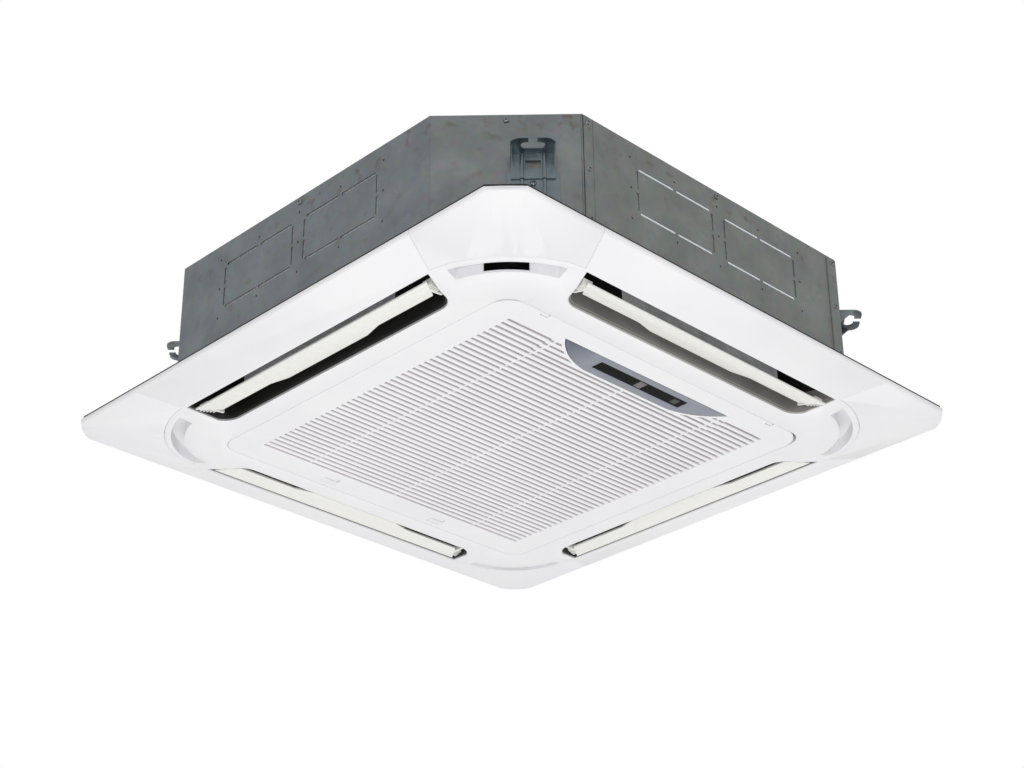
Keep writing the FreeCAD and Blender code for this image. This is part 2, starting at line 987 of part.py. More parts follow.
def coil():
    z1 = ceil_under - liner_wall
    ring = round_square(coil_out, coil_r, coil_z, z1)
    ring = ring.cut(round_square(coil_in, coil_r - coil_t, coil_z - over, z1 + over))
    gap = box(coil_end, coil_out + over, coil_end, coil_out + over, coil_z - over, z1 + over)
    save("coil_fins", ring.cut(gap))
    lap = end_plate_lap
    end = box(coil_end, coil_end + end_plate_t, coil_in - lap, coil_out + lap, coil_z, z1)
    other = box(coil_in - lap, coil_out + lap, coil_end, coil_end + end_plate_t, coil_z, z1)
    save("coil_end_plates", Part.makeCompound([end, other]))
    bends = []
    mid = (coil_in + coil_out) / 2
    for row in (-1, 1):
        y = mid + row * tube_row_gap / 2
        for i in range(tube_rows // 2):
            z = coil_z + tube_pitch * (2 * i + 1)
            torus = Part.makeTorus(tube_pitch / 2, tube_r, V(coil_end + end_plate_t, y, z), V(0, 1, 0))
            half = torus.common(
                box(
                    coil_end + end_plate_t,
                    coil_end + tube_pitch + end_plate_t,
                    y - tube_pitch,
                    y + tube_pitch,
                    coil_z - tube_pitch,
                    z1 + tube_pitch,
                )
            )
            bends.append(half)
    save("coil_bends", Part.makeCompound(bends))


def tube_path(r, points):
    solids = []
    for a, b in zip(points, points[1:]):
        solids.append(rod(r, a, b))
    for p in points[1:-1]:
        solids.append(Part.makeSphere(r, p))
    return solids


def hex_bar(r, a, b):
    d = b - a
    pts = []
    for i in range(hex_sides + 1):
        k = 2 * math.pi * i / hex_sides
        pts.append(V(r * math.cos(k), r * math.sin(k), 0))
    bar = Part.Face(Part.makePolygon(pts)).extrude(V(0, 0, d.Length))
    turn = FreeCAD.Rotation(V(0, 0, 1), d)
    bar.Placement = FreeCAD.Placement(a, turn)
    return bar


def pipe_run(r, head_r, u, row):
    """A pipe from a header at the coil's end out through the far chamfer."""
    z = casing_z + pipe_up
    mid = (coil_in + coil_out) / 2
    x = mid + row * tube_row_gap / 2
    y = coil_end + end_plate_t + header_step
    low = coil_z + tube_pitch
    head = cyl(head_r, low, z + tube_pitch, x, y)
    stubs = []
    for i in range(tube_rows // 2):
        h = low + tube_pitch * (2 * i + 1) - tube_pitch / 2
        stubs.append(rod(tube_r, V(x, coil_end + end_plate_t, h), V(x, y, h)))
    path = [far_corner(u, pipe_out, z), far_corner(u, -pipe_in, z), V(x, y, z)]
    return fuse([head] + stubs + tube_path(r, path))


def union(thread_r, hex_r, u):
    z = casing_z + pipe_up
    a = far_corner(u, pipe_out, z)
    b = far_corner(u, pipe_out + union_hex_len, z)
    c = far_corner(u, pipe_out + union_hex_len + thread_len, z)
    return hex_bar(hex_r, a, b).fuse(rod(thread_r, b, c))


def pipes():
    save("gas_pipe", pipe_run(gas_r, header_r, gas_u, -1))
    save("liquid_pipe", pipe_run(liquid_r, liquid_header_r, liquid_u, 1))
    ends = [union(gas_thread_r, union_hex_r, gas_u), union(liquid_thread_r, liquid_hex_r, liquid_u)]
    save("pipe_unions", Part.makeCompound(ends))
    mid = (gas_u + liquid_u) / 2
    w = pipe_plate_w / 2
    n = pipe_plate_h / 2
    z = casing_z + pipe_up
    y = -chamfer_s
    plate = box(mid - w, mid + w, y - pipe_plate_t, y, z - n, z + n)
    save("pipe_plate", at_corners(plate)[3].cut(pipe_holes()))


def revolve(points):
    pts = [V(r, 0, z) for r, z in points]
    face = Part.Face(Part.makePolygon(pts + [pts[0]]))
    return face.revolve(V(), V(0, 0, 1), 2 * half_turn_deg)


def curve_points(r0, z0, r1, z1, n, out):
    """A quarter-round run of points from (r0, z0) to (r1, z1)."""
    pts = []
    for i in range(n + 1):
        a = math.pi / 2 * i / n
        if out:
            pts.append((r0 + (r1 - r0) * (1 - math.cos(a)), z0 + (z1 - z0) * math.sin(a)))
        else:
            pts.append((r0 + (r1 - r0) * math.sin(a), z0 + (z1 - z0) * (1 - math.cos(a))))
    return pts


def smooth_revolve(low, high):
    """Turns the band between two lines of points, each a smooth curve."""
    a = Part.BSplineCurve()
    a.interpolate([V(r, 0, z) for r, z in low])
    b = Part.BSplineCurve()
    b.interpolate([V(r, 0, z) for r, z in high])
    e1 = a.toShape()
    e2 = b.toShape()
    p = [V(low[0][0], 0, low[0][1]), V(low[-1][0], 0, low[-1][1])]
    q = [V(high[0][0], 0, high[0][1]), V(high[-1][0], 0, high[-1][1])]
    w = Part.Wire([e1, Part.makeLine(p[1], q[1]), e2, Part.makeLine(q[0], p[0])])
    return Part.Face(w).revolve(V(), V(0, 0, 1), 2 * half_turn_deg)


def quarter_arc(r0, z0, r1, z1, t):
    """Ends and middle of an arc that rises from (r0, z0) and turns outward, t to its outer side."""
    c = 1 / root2
    a = V(r0 + t, 0, z0)
    m = V(r0 + (r1 - r0) * (1 - c) + t * c, 0, z0 + (z1 - z0) * c - t * c)
    b = V(r1, 0, z1 - t)
    return a, m, b


def arc_band(r0, z0, r1, z1, t):
    a, m, b = quarter_arc(r0, z0, r1, z1, 0)
    p, n, q = quarter_arc(r0, z0, r1, z1, t)
    edges = [Part.Arc(a, m, b).toShape(), Part.makeLine(b, q)]
    edges += [Part.Arc(q, n, p).toShape(), Part.makeLine(p, a)]
    return Part.Face(Part.Wire(edges)).revolve(V(), V(0, 0, 1), 2 * half_turn_deg)


def turbo_fan():
    z1 = fan_top
    tip = z1 - hub_drop
    shroud = arc_band(fan_in_r, fan_z, fan_r, fan_z + shroud_rise, fan_skin)
    s = fan_skin
    back = revolve(
        [
            (fan_r, z1 - s),
            (fan_r, z1),
            (hub_r, z1),
            (hub_tip_r, tip + s),
            (boss_r, tip + s),
            (boss_r, tip + boss_h),
            (shaft_r + shaft_fit, tip + boss_h),
            (shaft_r + shaft_fit, tip),
            (hub_tip_r, tip),
            (hub_r, z1 - s),
        ]
    )
    side = fan_skin / 2
    p, m, q = quarter_arc(fan_in_r, fan_z, fan_r, fan_z + shroud_rise, side)
    edge = Part.Arc(p, m, q).toShape()
    rest = [q, V(fan_r, 0, z1 - side), V(boss_r, 0, z1 - side), V(boss_r, 0, fan_z), p]
    outline = Part.Wire([edge] + [Part.makeLine(a, b) for a, b in zip(rest, rest[1:])])
    room = Part.Face(outline).revolve(V(), V(0, 0, 1), 2 * half_turn_deg)
    hollow = cyl(fan_in_r + side, fan_z - over, fan_z + shroud_rise)
    room = room.cut(hollow)
    solids = [shroud, back]
    a1 = math.radians(blade_sweep_deg)
    p = V(blade_in_r, 0, fan_z)
    r_out = fan_r - s
    q = V(r_out * math.cos(a1), r_out * math.sin(a1), fan_z)
    m = (p + q) * (1 / 2) + V(q.y - p.y, p.x - q.x, 0).normalize() * blade_bow
    n = V(q.y - p.y, p.x - q.x, 0).normalize() * blade_t
    w = Part.Wire(
        [
            Part.Arc(p, m, q).toShape(),
            Part.makeLine(q, q + n),
            Part.Arc(q + n, m + n, p + n).toShape(),
            Part.makeLine(p + n, p),
        ]
    )
    blade = Part.Face(w).extrude(V(0, 0, fan_h))
    blade = blade.common(room)
    for i in range(blade_count):
        solids.append(spun(blade, 2 * half_turn_deg * i / blade_count))
    save("turbo_fan", fuse(solids))
    nut = hex_bar(nut_r, V(0, 0, tip - nut_h), V(0, 0, tip))
    save("fan_nut", nut.cut(cyl(shaft_r + shaft_fit, tip - nut_h - over, tip + over)))


def fan_motor():
    z1 = ceil_under - motor_drop
    z0 = z1 - motor_h
    tip = fan_top - hub_drop
    body = cyl(motor_r, z0, z1)
    rim = [e for e in body.Edges if abs(e.BoundBox.ZMax - z0) < over and len(e.Vertexes) == 1]
    body = body.makeFillet(ear_t, rim)
    shaft = cyl(shaft_r, tip - nut_h - over, z0 + over)
    parts = [body, shaft]
    grommets = []
    bolts = []
    for k in range(ear_count):
        a = math.radians(diagonal_deg + right_angle_deg * k)
        x = ear_reach * math.cos(a)
        y = ear_reach * math.sin(a)
        ear = cyl(ear_r, z1 - ear_t, z1, x, y)
        arm = box(motor_r - ear_r, ear_reach, -ear_r, ear_r, z1 - ear_t, z1)
        arm = spun(arm, diagonal_deg + right_angle_deg * k)
        parts.append(ear.fuse(arm).cut(cyl(motor_bolt_r, z0, z1 + over, x, y)))
        ring = cyl(grommet_r, z1, ceil_under, x, y).cut(cyl(motor_bolt_r, z0, casing_top, x, y))
        grommets.append(ring)
        head = cyl(motor_bolt_head_r, z1 - ear_t - motor_bolt_head_h, z1 - ear_t, x, y)
        bolts.append(head.fuse(cyl(motor_bolt_r, z1 - ear_t, casing_top, x, y)))
    save("fan_motor", fuse(parts))
    save("motor_grommets", Part.makeCompound(grommets))
    save("motor_bolts", Part.makeCompound(bolts))


def mouth_screw_places():
    d = mouth_screw_at
    return [(x, y) for x in (-d, d) for y in (-d, d)]


def mouth_z():
    return pan_z + pan_recess_up - mouth_t


def bell_mouth():
    z = mouth_z()
    plate = round_square(mouth_plate_half, pan_r - seam, z, z + mouth_t)
    plate = plate.cut(cyl(mouth_base_r, z - over, z + mouth_t + over))
    low = curve_points(mouth_base_r, z, mouth_throat_r, z + mouth_rise, roll_steps, False)
    high = []
    for i, (r, q) in enumerate(low):
        share = i / roll_steps
        high.append((r + mouth_t * share, q + mouth_t * (1 - share)))
    flare = smooth_revolve(low, high)
    ring = cyl(mouth_base_r + mouth_t, z, z + mouth_t).cut(cyl(mouth_base_r, z - over, z + mouth_t + over))
    body = fuse([plate, ring, flare])
    for x, y in mouth_screw_places():
        body = body.cut(cyl(screw_r, z - over, z + screw_len, x, y))
    save("bell_mouth", body)


def pump():
    p = pump_at()
    z0 = casing_z + pump_foot
    z1 = z0 + pump_h
    floor = pan_z + trough_floor
    body = cyl(pump_r, z0, z1, p.x, p.y)
    cup = cyl(cup_r, floor + impeller_lift / 2, z0, p.x, p.y)
    cup = cup.cut(cyl(cup_r - cup_t, floor, z0 - cup_t, p.x, p.y))
    spout = rod(hose_bore, V(p.x, p.y, casing_z + hose_up), hose_start())
    foot = box(
        p.x - arm_w,
        p.x + arm_w,
        p.y - arm_w,
        p.y + arm_w,
        z1 - arm_t,
        z1,
    )
    post = box(p.x - arm_t, p.x + arm_t, p.y - arm_w, p.y + arm_w, z1, ceil_under - liner_wall)
    hub = fuse([body, cup, spout, foot, post])
    hub = hub.cut(cyl(impeller_shaft_r + shaft_fit, floor, z0 + arm_w, p.x, p.y))
    save("drain_pump", hub)
    a = floor + impeller_lift
    shaft = cyl(impeller_shaft_r, a, z0 + arm_w - over, p.x, p.y)
    vanes = [shaft, cyl(impeller_r / 2, a, a + vane_t, p.x, p.y)]
    for k in range(2):
        v = box(-impeller_r, impeller_r, -vane_t / 2, vane_t / 2, a, a + impeller_h)
        vanes.append(moved(spun(v, right_angle_deg * k), p.x, p.y))
    save("pump_impeller", fuse(vanes))
    c = spigot_at(-liner_wall - over)
    run = [hose_start(), V(c.x - hose_r * 2, c.y, c.z), spigot_at(-over)]
    hose = fuse(tube_path(hose_r, run)).cut(spout)
    save("drain_hose", hose)
    outer = rod(spigot_r, spigot_at(-over), spigot_at(spigot_len))
    flange = rod(spigot_flange_r, spigot_at(0), spigot_at(spigot_flange_t))
    bore = rod(spigot_bore, spigot_at(over), spigot_at(spigot_len + over))
    save("drain_spigot", outer.fuse(flange).cut(bore))


def hose_start():
    p = pump_at()
    d = (spigot_at(0) - V(p.x, p.y, casing_z + hose_up)).normalize()
    return V(p.x, p.y, casing_z + hose_up) + d * (pump_r + spigot_flange_t)


def float_switch():
    d = trough_in + trough_w / 2
    x = float_x
    z0 = pan_z + trough_floor
    z1 = pan_top + stem_head_h
    head = cyl(stem_head_r, z1, z1 + stem_head_h, x, d)
    stem = cyl(stem_r, z0 + stem_stop_h, z1, x, d)
    stop = cyl(stem_stop_r, z0 + stem_stop_h, z0 + 2 * stem_stop_h, x, d)
    y0 = d - stem_head_r
    y1 = d + stem_head_r
    arm = box(x - arm_t, x + arm_t, y0, y1, z1 + stem_head_h, ceil_under - liner_wall)
    save("float_stem", fuse([head, stem, stop, arm]))
    low = z0 + 2 * stem_stop_h + stem_stop_h / quarters
    ring = cyl(float_r, low, low + float_h, x, d)
    ring = ring.cut(cyl(float_bore, low - over, low + float_h + over, x, d))
    save("float_ball", ring)


def electrical_box():
    z1 = mouth_z()
    z0 = z1 - box_h
    w = box_len / 2
    y0 = -pan_recess + box_gap
    y1 = y0 + box_deep
    shell = box(-w, w, y0, y1, z0, z1)
    room = box(-w + box_wall, w - box_wall, y0 + box_wall, y1 - box_wall, z0 - over, z1 - box_wall)
    shell = shell.cut(room)
    b = board_len / 2
    ym = (y0 + y1) / 2
    top = z1 - box_wall
    zb = top - board_up
    posts = []
    for sx in (-1, 1):
        for sy in (-1, 1):
            px = sx * (b - 2 * post_r) - term_len / 2
            posts.append(cyl(post_r, zb, top, px, ym + sy * (board_deep / 2 - 2 * post_r)))
    save("electrical_box", fuse([shell] + posts))
    half = board_deep / 2
    zc = zb - board_t
    board = box(-b - term_len / 2, b - term_len / 2, ym - half, ym + half, zc, zb)
    chips = [board]
    for k in range(-2, 3):
        cx = k * board_len / (quarters + 1) - term_len / 2
        chips.append(box(cx - chip_h, cx + chip_h, ym - chip_h, ym + chip_h / 2, zc - chip_h, zc))
    save("control_board", fuse(chips))
    tx = w - box_wall - box_gap
    term = box(tx - term_len, tx, ym - term_deep / 2, ym + term_deep / 2, top - term_h, top)
    wells = []
    n = quarters + 1
    for k in range(n):
        cx = tx - term_len * (2 * k + 1) / (2 * n)
        wells.append(cyl(screw_head_r, top - term_h - over, top - term_h + screw_head_h, cx, ym))
    save("terminal_block", term.cut(Part.makeCompound(wells)))
    lid = box(-w, w, y0, y1, z0 - box_wall, z0)
    lip = box(-w + box_wall, w - box_wall, y0 + box_wall, y0 + 2 * box_wall, z0, z0 + chip_h / 2)
    save("electrical_cover", lid.fuse(lip))


def pivot_holes(r, x0, x1):
    solids = []
    for a, b in ((x0, x1), (-x1, -x0)):
        hole = rod(r, V(a, -pivot_d, -pivot_z), V(b, -pivot_d, -pivot_z))
        solids += front_to_sides(hole)
    return solids


def boss_end():
    return slot_end_out + quarters


def panel_bolt_place():
    return (lug_u, -chamfer_s - bolt_out)


def panel_frame():
    outer = skin_body(0.0, 0.0)
    cavity = skin_body(skin_t, over)
    skin = outer.cut(cavity)
    open_half = grille_half + seam
    open_r = grille_r + seam
    c = collar_t
    adds = []
    collar = round_square(open_half + c, open_r + c, face_z, 0)
    adds.append(collar.cut(round_square(open_half, open_r, face_z - over, over)))
    slot_walls = slot_body(c + slot_lip_r, face_z, -face_drop + slot_lip_r + skin_t)
    slot_walls = slot_walls.fuse(slot_body(c, face_z, 0))
    adds += [s.common(outer) for s in front_to_sides(slot_walls)]
    deg0 = pocket_edge_deg
    deg1 = right_angle_deg - pocket_edge_deg
    pad = math.degrees(c / pocket_in)
    wall = arc_body(pocket_in - c, pocket_out + c, deg0 - pad, deg1 + pad, face_z, 0).common(outer)
    adds += front_to_sides(wall)
    inset = skin_t + roll_r / 2 + seam
    zone = octagon(panel_half - inset, inset_leg(corner_leg, inset))
    web = slab(zone, -web_t, 0).common(box(-panel_half, -arc_c, -panel_half, -arc_c, -web_t, 0))
    adds += front_to_sides(web)
    boss = rod(pivot_boss_r, V(slot_end_in, -pivot_d, -pivot_z), V(boss_end(), -pivot_d, -pivot_z))
    other = boss.mirror(V(), V(1, 0, 0))
    adds += front_to_sides(boss) + front_to_sides(other)
    body = fuse([skin] + adds)
    cuts = [round_square(open_half, open_r, face_z - over, over)]
    duct = slot_lip().fuse(slot_body(0.0, face_z + slot_lip_r - over / quarters, over))
    cuts += front_to_sides(duct)
    hollow = arc_body(pocket_in, pocket_out, deg0, deg1, face_z - over, face_z + pocket_top)
    port = arc_body(
        pocket_in - c - over,
        pocket_in + over,
        window_from_deg,
        window_to_deg,
        face_z + window_rise,
        face_z + window_rise + window_h,
    )
    cuts += front_to_sides(hollow.fuse(port))
    zone_cut = cover_zone(cover_gap, face_z - over, -web_t - cover_gap)
    rim_cut = cover_zone(cover_gap, face_z - over, over).cut(slab(zone, face_z - over, over))
    cuts += front_to_sides(zone_cut) + front_to_sides(rim_cut)
    cuts += pivot_holes(pivot_r + pivot_fit, arm_x, boss_end() + over)
    x0 = boss_end()
    at = V(x0, -pivot_d, step_offset - pivot_z)
    cuts += front_to_sides(rod(step_r + step_gap, at, at + V(step_len + step_gap, 0, 0)))
    px, py = panel_bolt_place()
    cuts += at_corners(cyl(bolt_r + bolt_fit, -web_t - over, over, px, py))
    body = body.cut(Part.makeCompound(cuts[:1]))
    for cut in cuts[1:]:
        body = body.cut(cut)
    knuckles = []
    for side in (-1, 1):
        x0 = side * hinge_x - knuckle_w / 2
        x1 = side * hinge_x + knuckle_w / 2
        eye = rod(hinge_up, V(x0, hinge_y, hinge_z), V(x1, hinge_y, hinge_z))
        arm = box(x0, x1, -open_half - c, hinge_y, hinge_z, hinge_z + 2 * hinge_up)
        hole = rod(pin_r + pin_fit, V(x0 - over, hinge_y, hinge_z), V(x1 + over, hinge_y, hinge_z))
        knuckles.append(eye.fuse(arm).cut(hole))
    save("panel_frame", fuse([body] + knuckles))
    cover = cover_zone(0.0, face_z - over, over).common(skin)
    names = ("near_left", "near_right", "far_right", "far_left")
    for name, piece in zip(names, front_to_sides(cover)):
        save("corner_cover_" + name, piece)
    ring = skin_body(liner_up, -over / 2)
    foam = slot_body(0.0, face_z, 0).cut(slot_body(-liner_t, face_z - over, over)).common(ring)
    liners = []
    pins = pivot_holes(2 * pivot_r, slot_end_in - slot_r, boss_end())
    for piece in front_to_sides(foam):
        for hole in pins:
            piece = piece.cut(hole)
        liners.append(piece)
    save("outlet_liners", Part.makeCompound(liners))


def panel_bolts():
    px, py = panel_bolt_place()
    z = -web_t
    flange = cyl(washer_r, z - washer_t, z, px, py)
    head = hex_bar(bolt_head_r, V(px, py, z - washer_t - bolt_head_h), V(px, py, z - washer_t))
    bolt = fuse([head, flange, cyl(bolt_r, z - washer_t, bolt_tip, px, py)])
    save("panel_bolts", Part.makeCompound(at_corners(bolt)))


def seals():
    half = panel_half - rim_seal_in
    leg = inset_leg(corner_leg, rim_seal_in)
    ring = sheet_ring(half, leg, rim_seal_w, 0, rim_seal_h)
    save("rim_seal", ring)
    rings = []
    around = slot_body(duct_seal_w, 0, pan_z).cut(slot_body(0.0, -over, pan_z + over))
    rings += front_to_sides(around)
    open_half = grille_half + seam
    mid = round_square(open_half + collar_t + duct_seal_w, grille_r + duct_seal_w, 0, pan_z)
    rings.append(mid.cut(round_square(open_half, grille_r + seam, -over, pan_z + over)))
    save("panel_seals", Part.makeCompound(rings))


def louver():
    d0 = slot_out - louver_out
    d1 = d0 - louver_w
    d2 = d1 - louver_bulge
    n = louver_half - louver_slant
    pts = [
        (-louver_half, -d0),
        (louver_half, -d0),
        (n, -d1),
        (bulge_half + bulge_run, -d1),
        (bulge_half, -d2),
        (-bulge_half, -d2),
        (-bulge_half - bulge_run, -d1),
        (-n, -d1),
    ]
    r = bulge_round
    z = -louver_z
    blade = slab(pts, z, z + louver_t, [0, 0, 0, r, r, r, r, 0])
    parts = [blade]
    for side in (-1, 1):
        a = side * arm_x
        b = side * (arm_x + quarters)
        x0, x1 = min(a, b), max(a, b)
        y0 = -pivot_d - ear_out
        y1 = -pivot_d + ear_in
        parts.append(box(x0, x1, y0, y1, z, -pivot_z + pivot_r))
        b = side * (boss_end() - step_shaft_len - pivot_fit)
        pin = rod(pivot_r, V(a, -pivot_d, -pivot_z), V(b, -pivot_d, -pivot_z))
        parts.append(pin)
        for k in range(comb_count):
            d = pivot_d + ear_out - comb_t / 2 - k * (ear_out - pivot_r) / comb_count
            tip = slot_end_in + (d - slot_in) * slot_slant / (slot_out - slot_in) - comb_clear
            x0, x1 = min(a, side * tip), max(a, side * tip)
            parts.append(box(x0, x1, -d - comb_t / 2, -d + comb_t / 2, z, -pivot_z + pivot_r))
    body = fuse(parts)
    return body


def louvers():
    names = ("front", "right", "back", "left")
    bodies = front_to_sides(louver())
    bodies[0].rotate(V(0, -pivot_d, -pivot_z), V(-1, 0, 0), front_tilt_deg)
    bodies[3].rotate(V(-pivot_d, 0, -pivot_z), V(0, 1, 0), left_tilt_deg)
    for name, body in zip(names, bodies):
        save("louver_" + name, body)
    x0 = boss_end()
    y = -pivot_d
    z = -pivot_z + step_offset
    can = rod(step_r, V(x0, y, z), V(x0 + step_len, y, z))
    shaft = rod(step_shaft_r, V(x0 - step_shaft_len, y, -pivot_z), V(x0, y, -pivot_z))
    save("louver_motors", Part.makeCompound(front_to_sides(can.fuse(shaft))))


def latch_y():
    return grille_half - latch_in


def grille():
    plate = round_square(grille_half, grille_r, face_z, face_z + plate_thick)
    rim = round_square(grille_half, grille_r, face_z, face_z + rim_up)
    rim = rim.cut(round_square(grille_half - rim_wall, grille_r - rim_wall, face_z - over, over))
    block = slab(square(slat_half), face_z, slat_top)
    body = fuse([plate, rim, block])
    gaps = []
    n = slat_half - slat_end
    g = slat_gap / 2
    for i in range(slat_count):
        y = (i - (slat_count - 1) / 2) * slat_pitch
        pts = [(-n, y - g), (n, y - g), (n, y + g), (-n, y + g)]
        gaps.append(slab(pts, face_z - over, slat_top + over))
    gaps = Part.makeCompound(gaps)
    gaps = gaps.cut(display_body(disp_border, face_z - 2 * over, slat_top + 2 * over))
    body = body.cut(gaps)
    ribs = []
    for share in rib_shares:
        x = share * slat_half
        y0 = -slat_half if abs(x) > disp_half else disp_y + disp_d + disp_border
        ribs.append(box(x - cross_w / 2, x + cross_w / 2, y0, slat_half, slat_top - cross_h, slat_top))
    bosses = []
    pins = []
    cuts = [display_body(disp_gap, face_z - over, slat_top + over)]
    k = knuckle_w / 2 + knuckle_gap
    for side in (-1, 1):
        x = side * hinge_x
        y = hinge_y + hinge_up + knuckle_gap
        cuts.append(box(x - k, x + k, -grille_half - over, y, face_z - over, slat_top))
        pin = rod(pin_r, V(x - k - pin_seat, hinge_y, hinge_z), V(x + k + pin_seat, hinge_y, hinge_z))
        pins.append(pin)
        for s in (-1, 1):
            a = x + s * k
            b = x + s * (k + pin_seat)
            bosses.append(rod(hinge_up, V(min(a, b), hinge_y, hinge_z), V(max(a, b), hinge_y, hinge_z)))
    body = fuse([body] + ribs + bosses)
    for side in (-1, 1):
        a = side * (grille_half - hinge_corner_r)
        b = side * (grille_half + over)
        y = hinge_corner_r - grille_half
        corner = box(min(a, b), max(a, b), -grille_half - over, y, face_z - over, slat_top)
        keep = cyl(hinge_corner_r, face_z - over, face_z + plate_thick, a, y)
        cuts.append(corner.cut(keep))
    for side in (-1, 1):
        x = side * latch_x
        y = latch_y()
        w = latch_w / 2 + latch_gap
        d = latch_d / 2 + latch_gap
        cuts.append(box(x - w, x + w, y - d - latch_travel, y + d, face_z - over, slat_top))
    for cut in cuts + pins:
        body = body.cut(cut)
    save("grille", body)
    save("hinge_pins", Part.makeCompound(pins))
    for name, side in (("left", -1), ("right", 1)):
        save("latch_" + name, moved(latch(), side * latch_x, latch_y()))


def latch():
    w = latch_w / 2
    d = latch_d / 2
    zt = face_z + plate_thick + pin_fit
    key = box(-w, w, -d, d, face_z, zt)
    grips = []
    for k in (-1, 0, 1):
        x = k * latch_w / quarters
        g = latch_grip / 2
        y = d - latch_grip
        grips.append(box(x - g, x + g, -y, y, face_z - over, face_z + latch_grip))
    key = key.cut(Part.makeCompound(grips))
    plate = box(-w - latch_lap, w + latch_lap, -d - latch_lap, d, zt, zt + latch_plate_t)
    return key.fuse(plate)


def intake_filter():
    z0 = slat_top
    z1 = z0 + filter_h
    x = filter_half
    y0 = -filter_front
    y1 = filter_half
    frame = box(-x, x, y0, y1, z0, z1)
    m = filter_rim
    frame = frame.cut(box(-x + m, x - m, y0 + m, y1 - m, z0 - over, z1 + over))
    mesh = box(-x + m, x - m, y0 + m, y1 - m, z0, z0 + filter_mesh_t)
    ribs = []
    r = filter_rib_w / 2
    for k in range(1, filter_cells):
        cx = -x + 2 * x * k / filter_cells
        cy = y0 + (y1 - y0) * k / filter_cells
        ribs.append(box(cx - r, cx + r, y0 + m, y1 - m, z0, z0 + filter_h / 2))
        ribs.append(box(-x + m, x - m, cy - r, cy + r, z0, z0 + filter_h / 2))
    save("intake_filter", fuse([frame, mesh] + ribs))


def display():
    z0 = face_z
    body = display_body(0.0, z0, z0 + disp_h)
    room = display_body(-disp_wall, z0 + disp_t, z0 + disp_h + over)
    body = body.cut(room)
    arms = []
    zt = z0 + disp_h
    wall = grille_half + seam
    for side in (-1, 1):
        x0 = side * disp_arm_x - disp_arm_w / 2
        x1 = side * disp_arm_x + disp_arm_w / 2
        arms.append(box(x0, x1, -wall, disp_y + disp_d / 2, zt - disp_arm_t, zt))
        arms.append(box(x0, x1, -wall, -wall + disp_arm_t, zt - disp_arm_t, zt + disp_arm_up))
    body = fuse([body] + arms)
    y0 = disp_y + win_in
    y1 = y0 + win_d
    seat = box(win_x - win_half, win_x + win_half, y0, y1, z0 - over, z0 + win_t)
    bw = button_w / 2
    bd = button_d / 2
    ym = (y0 + y1) / 2
    g = button_gap
    w = bw + g
    d = bd + g
    zw = z0 + disp_t + over
    well = box(button_x - w, button_x + w, ym - d, ym + d, z0 - over, zw)
    body = body.cut(seat).cut(well)
    save("display_housing", body)
    pane = box(win_x - win_half, win_x + win_half, y0, y1, z0, z0 + win_t)
    ew = eye_w / 2
    eye = box(eye_x - ew, eye_x + ew, y0 + disp_wall, y1 - disp_wall, z0, z0 + win_t)
    save("display_window", pane.cut(well).cut(eye))
    save("display_receiver", eye)
    key = box(button_x - bw, button_x + bw, ym - bd, ym + bd, z0, z0 + button_len)
    save("manual_button", key)


casing()
hangers()
save("sheet_screws", sheet_screws())
wiring_pad()
foam_liner()
drain_pan()
coil()
pipes()
turbo_fan()
fan_motor()
bell_mouth()
pump()
float_switch()
electrical_box()
panel_frame()
panel_bolts()
seals()
louvers()
grille()
intake_filter()
display()
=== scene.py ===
# %% [markdown]
# # A four-way ceiling cassette, dressed around its CAD frame
# The real object hangs in a ceiling: a box of galvanised sheet above, and a
# white moulded panel below with an intake grille, four outlets and a display.
# The CAD model already holds the shapes and the moving bodies. This lesson
# loads it, gives every piece the finish of its real material, and builds with
# Geometry Nodes the small things that repeat.

import json
import math

import bpy
import bmesh
import numpy as np
from mathutils import Matrix, Vector

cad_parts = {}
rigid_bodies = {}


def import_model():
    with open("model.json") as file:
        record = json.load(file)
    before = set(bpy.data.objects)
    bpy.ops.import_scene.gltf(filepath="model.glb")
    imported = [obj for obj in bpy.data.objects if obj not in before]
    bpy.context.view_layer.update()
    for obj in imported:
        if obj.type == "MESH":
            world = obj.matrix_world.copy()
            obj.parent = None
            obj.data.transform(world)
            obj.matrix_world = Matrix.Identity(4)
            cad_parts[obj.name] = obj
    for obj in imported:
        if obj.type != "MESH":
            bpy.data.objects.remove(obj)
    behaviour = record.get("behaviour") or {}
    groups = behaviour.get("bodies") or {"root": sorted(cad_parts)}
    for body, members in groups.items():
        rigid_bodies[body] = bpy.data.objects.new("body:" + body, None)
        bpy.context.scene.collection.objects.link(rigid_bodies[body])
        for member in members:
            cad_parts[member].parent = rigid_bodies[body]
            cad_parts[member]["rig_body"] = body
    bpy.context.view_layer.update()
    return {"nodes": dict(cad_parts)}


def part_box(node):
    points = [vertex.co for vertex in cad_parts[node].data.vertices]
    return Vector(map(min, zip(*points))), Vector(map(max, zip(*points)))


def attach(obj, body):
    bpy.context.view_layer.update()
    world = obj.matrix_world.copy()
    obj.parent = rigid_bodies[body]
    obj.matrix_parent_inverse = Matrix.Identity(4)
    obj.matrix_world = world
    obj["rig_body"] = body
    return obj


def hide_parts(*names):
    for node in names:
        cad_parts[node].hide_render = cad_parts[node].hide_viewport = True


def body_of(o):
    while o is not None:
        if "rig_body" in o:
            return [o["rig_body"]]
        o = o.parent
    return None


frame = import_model()
nodes = frame["nodes"]
MM = 0.001

# %% [markdown]
# Blender works in metres and in linear light, while a size is easier to read in
# millimetres and a colour as the hex value a paint program shows. Three small
# helpers turn one into the other and add a node with its settings and links.

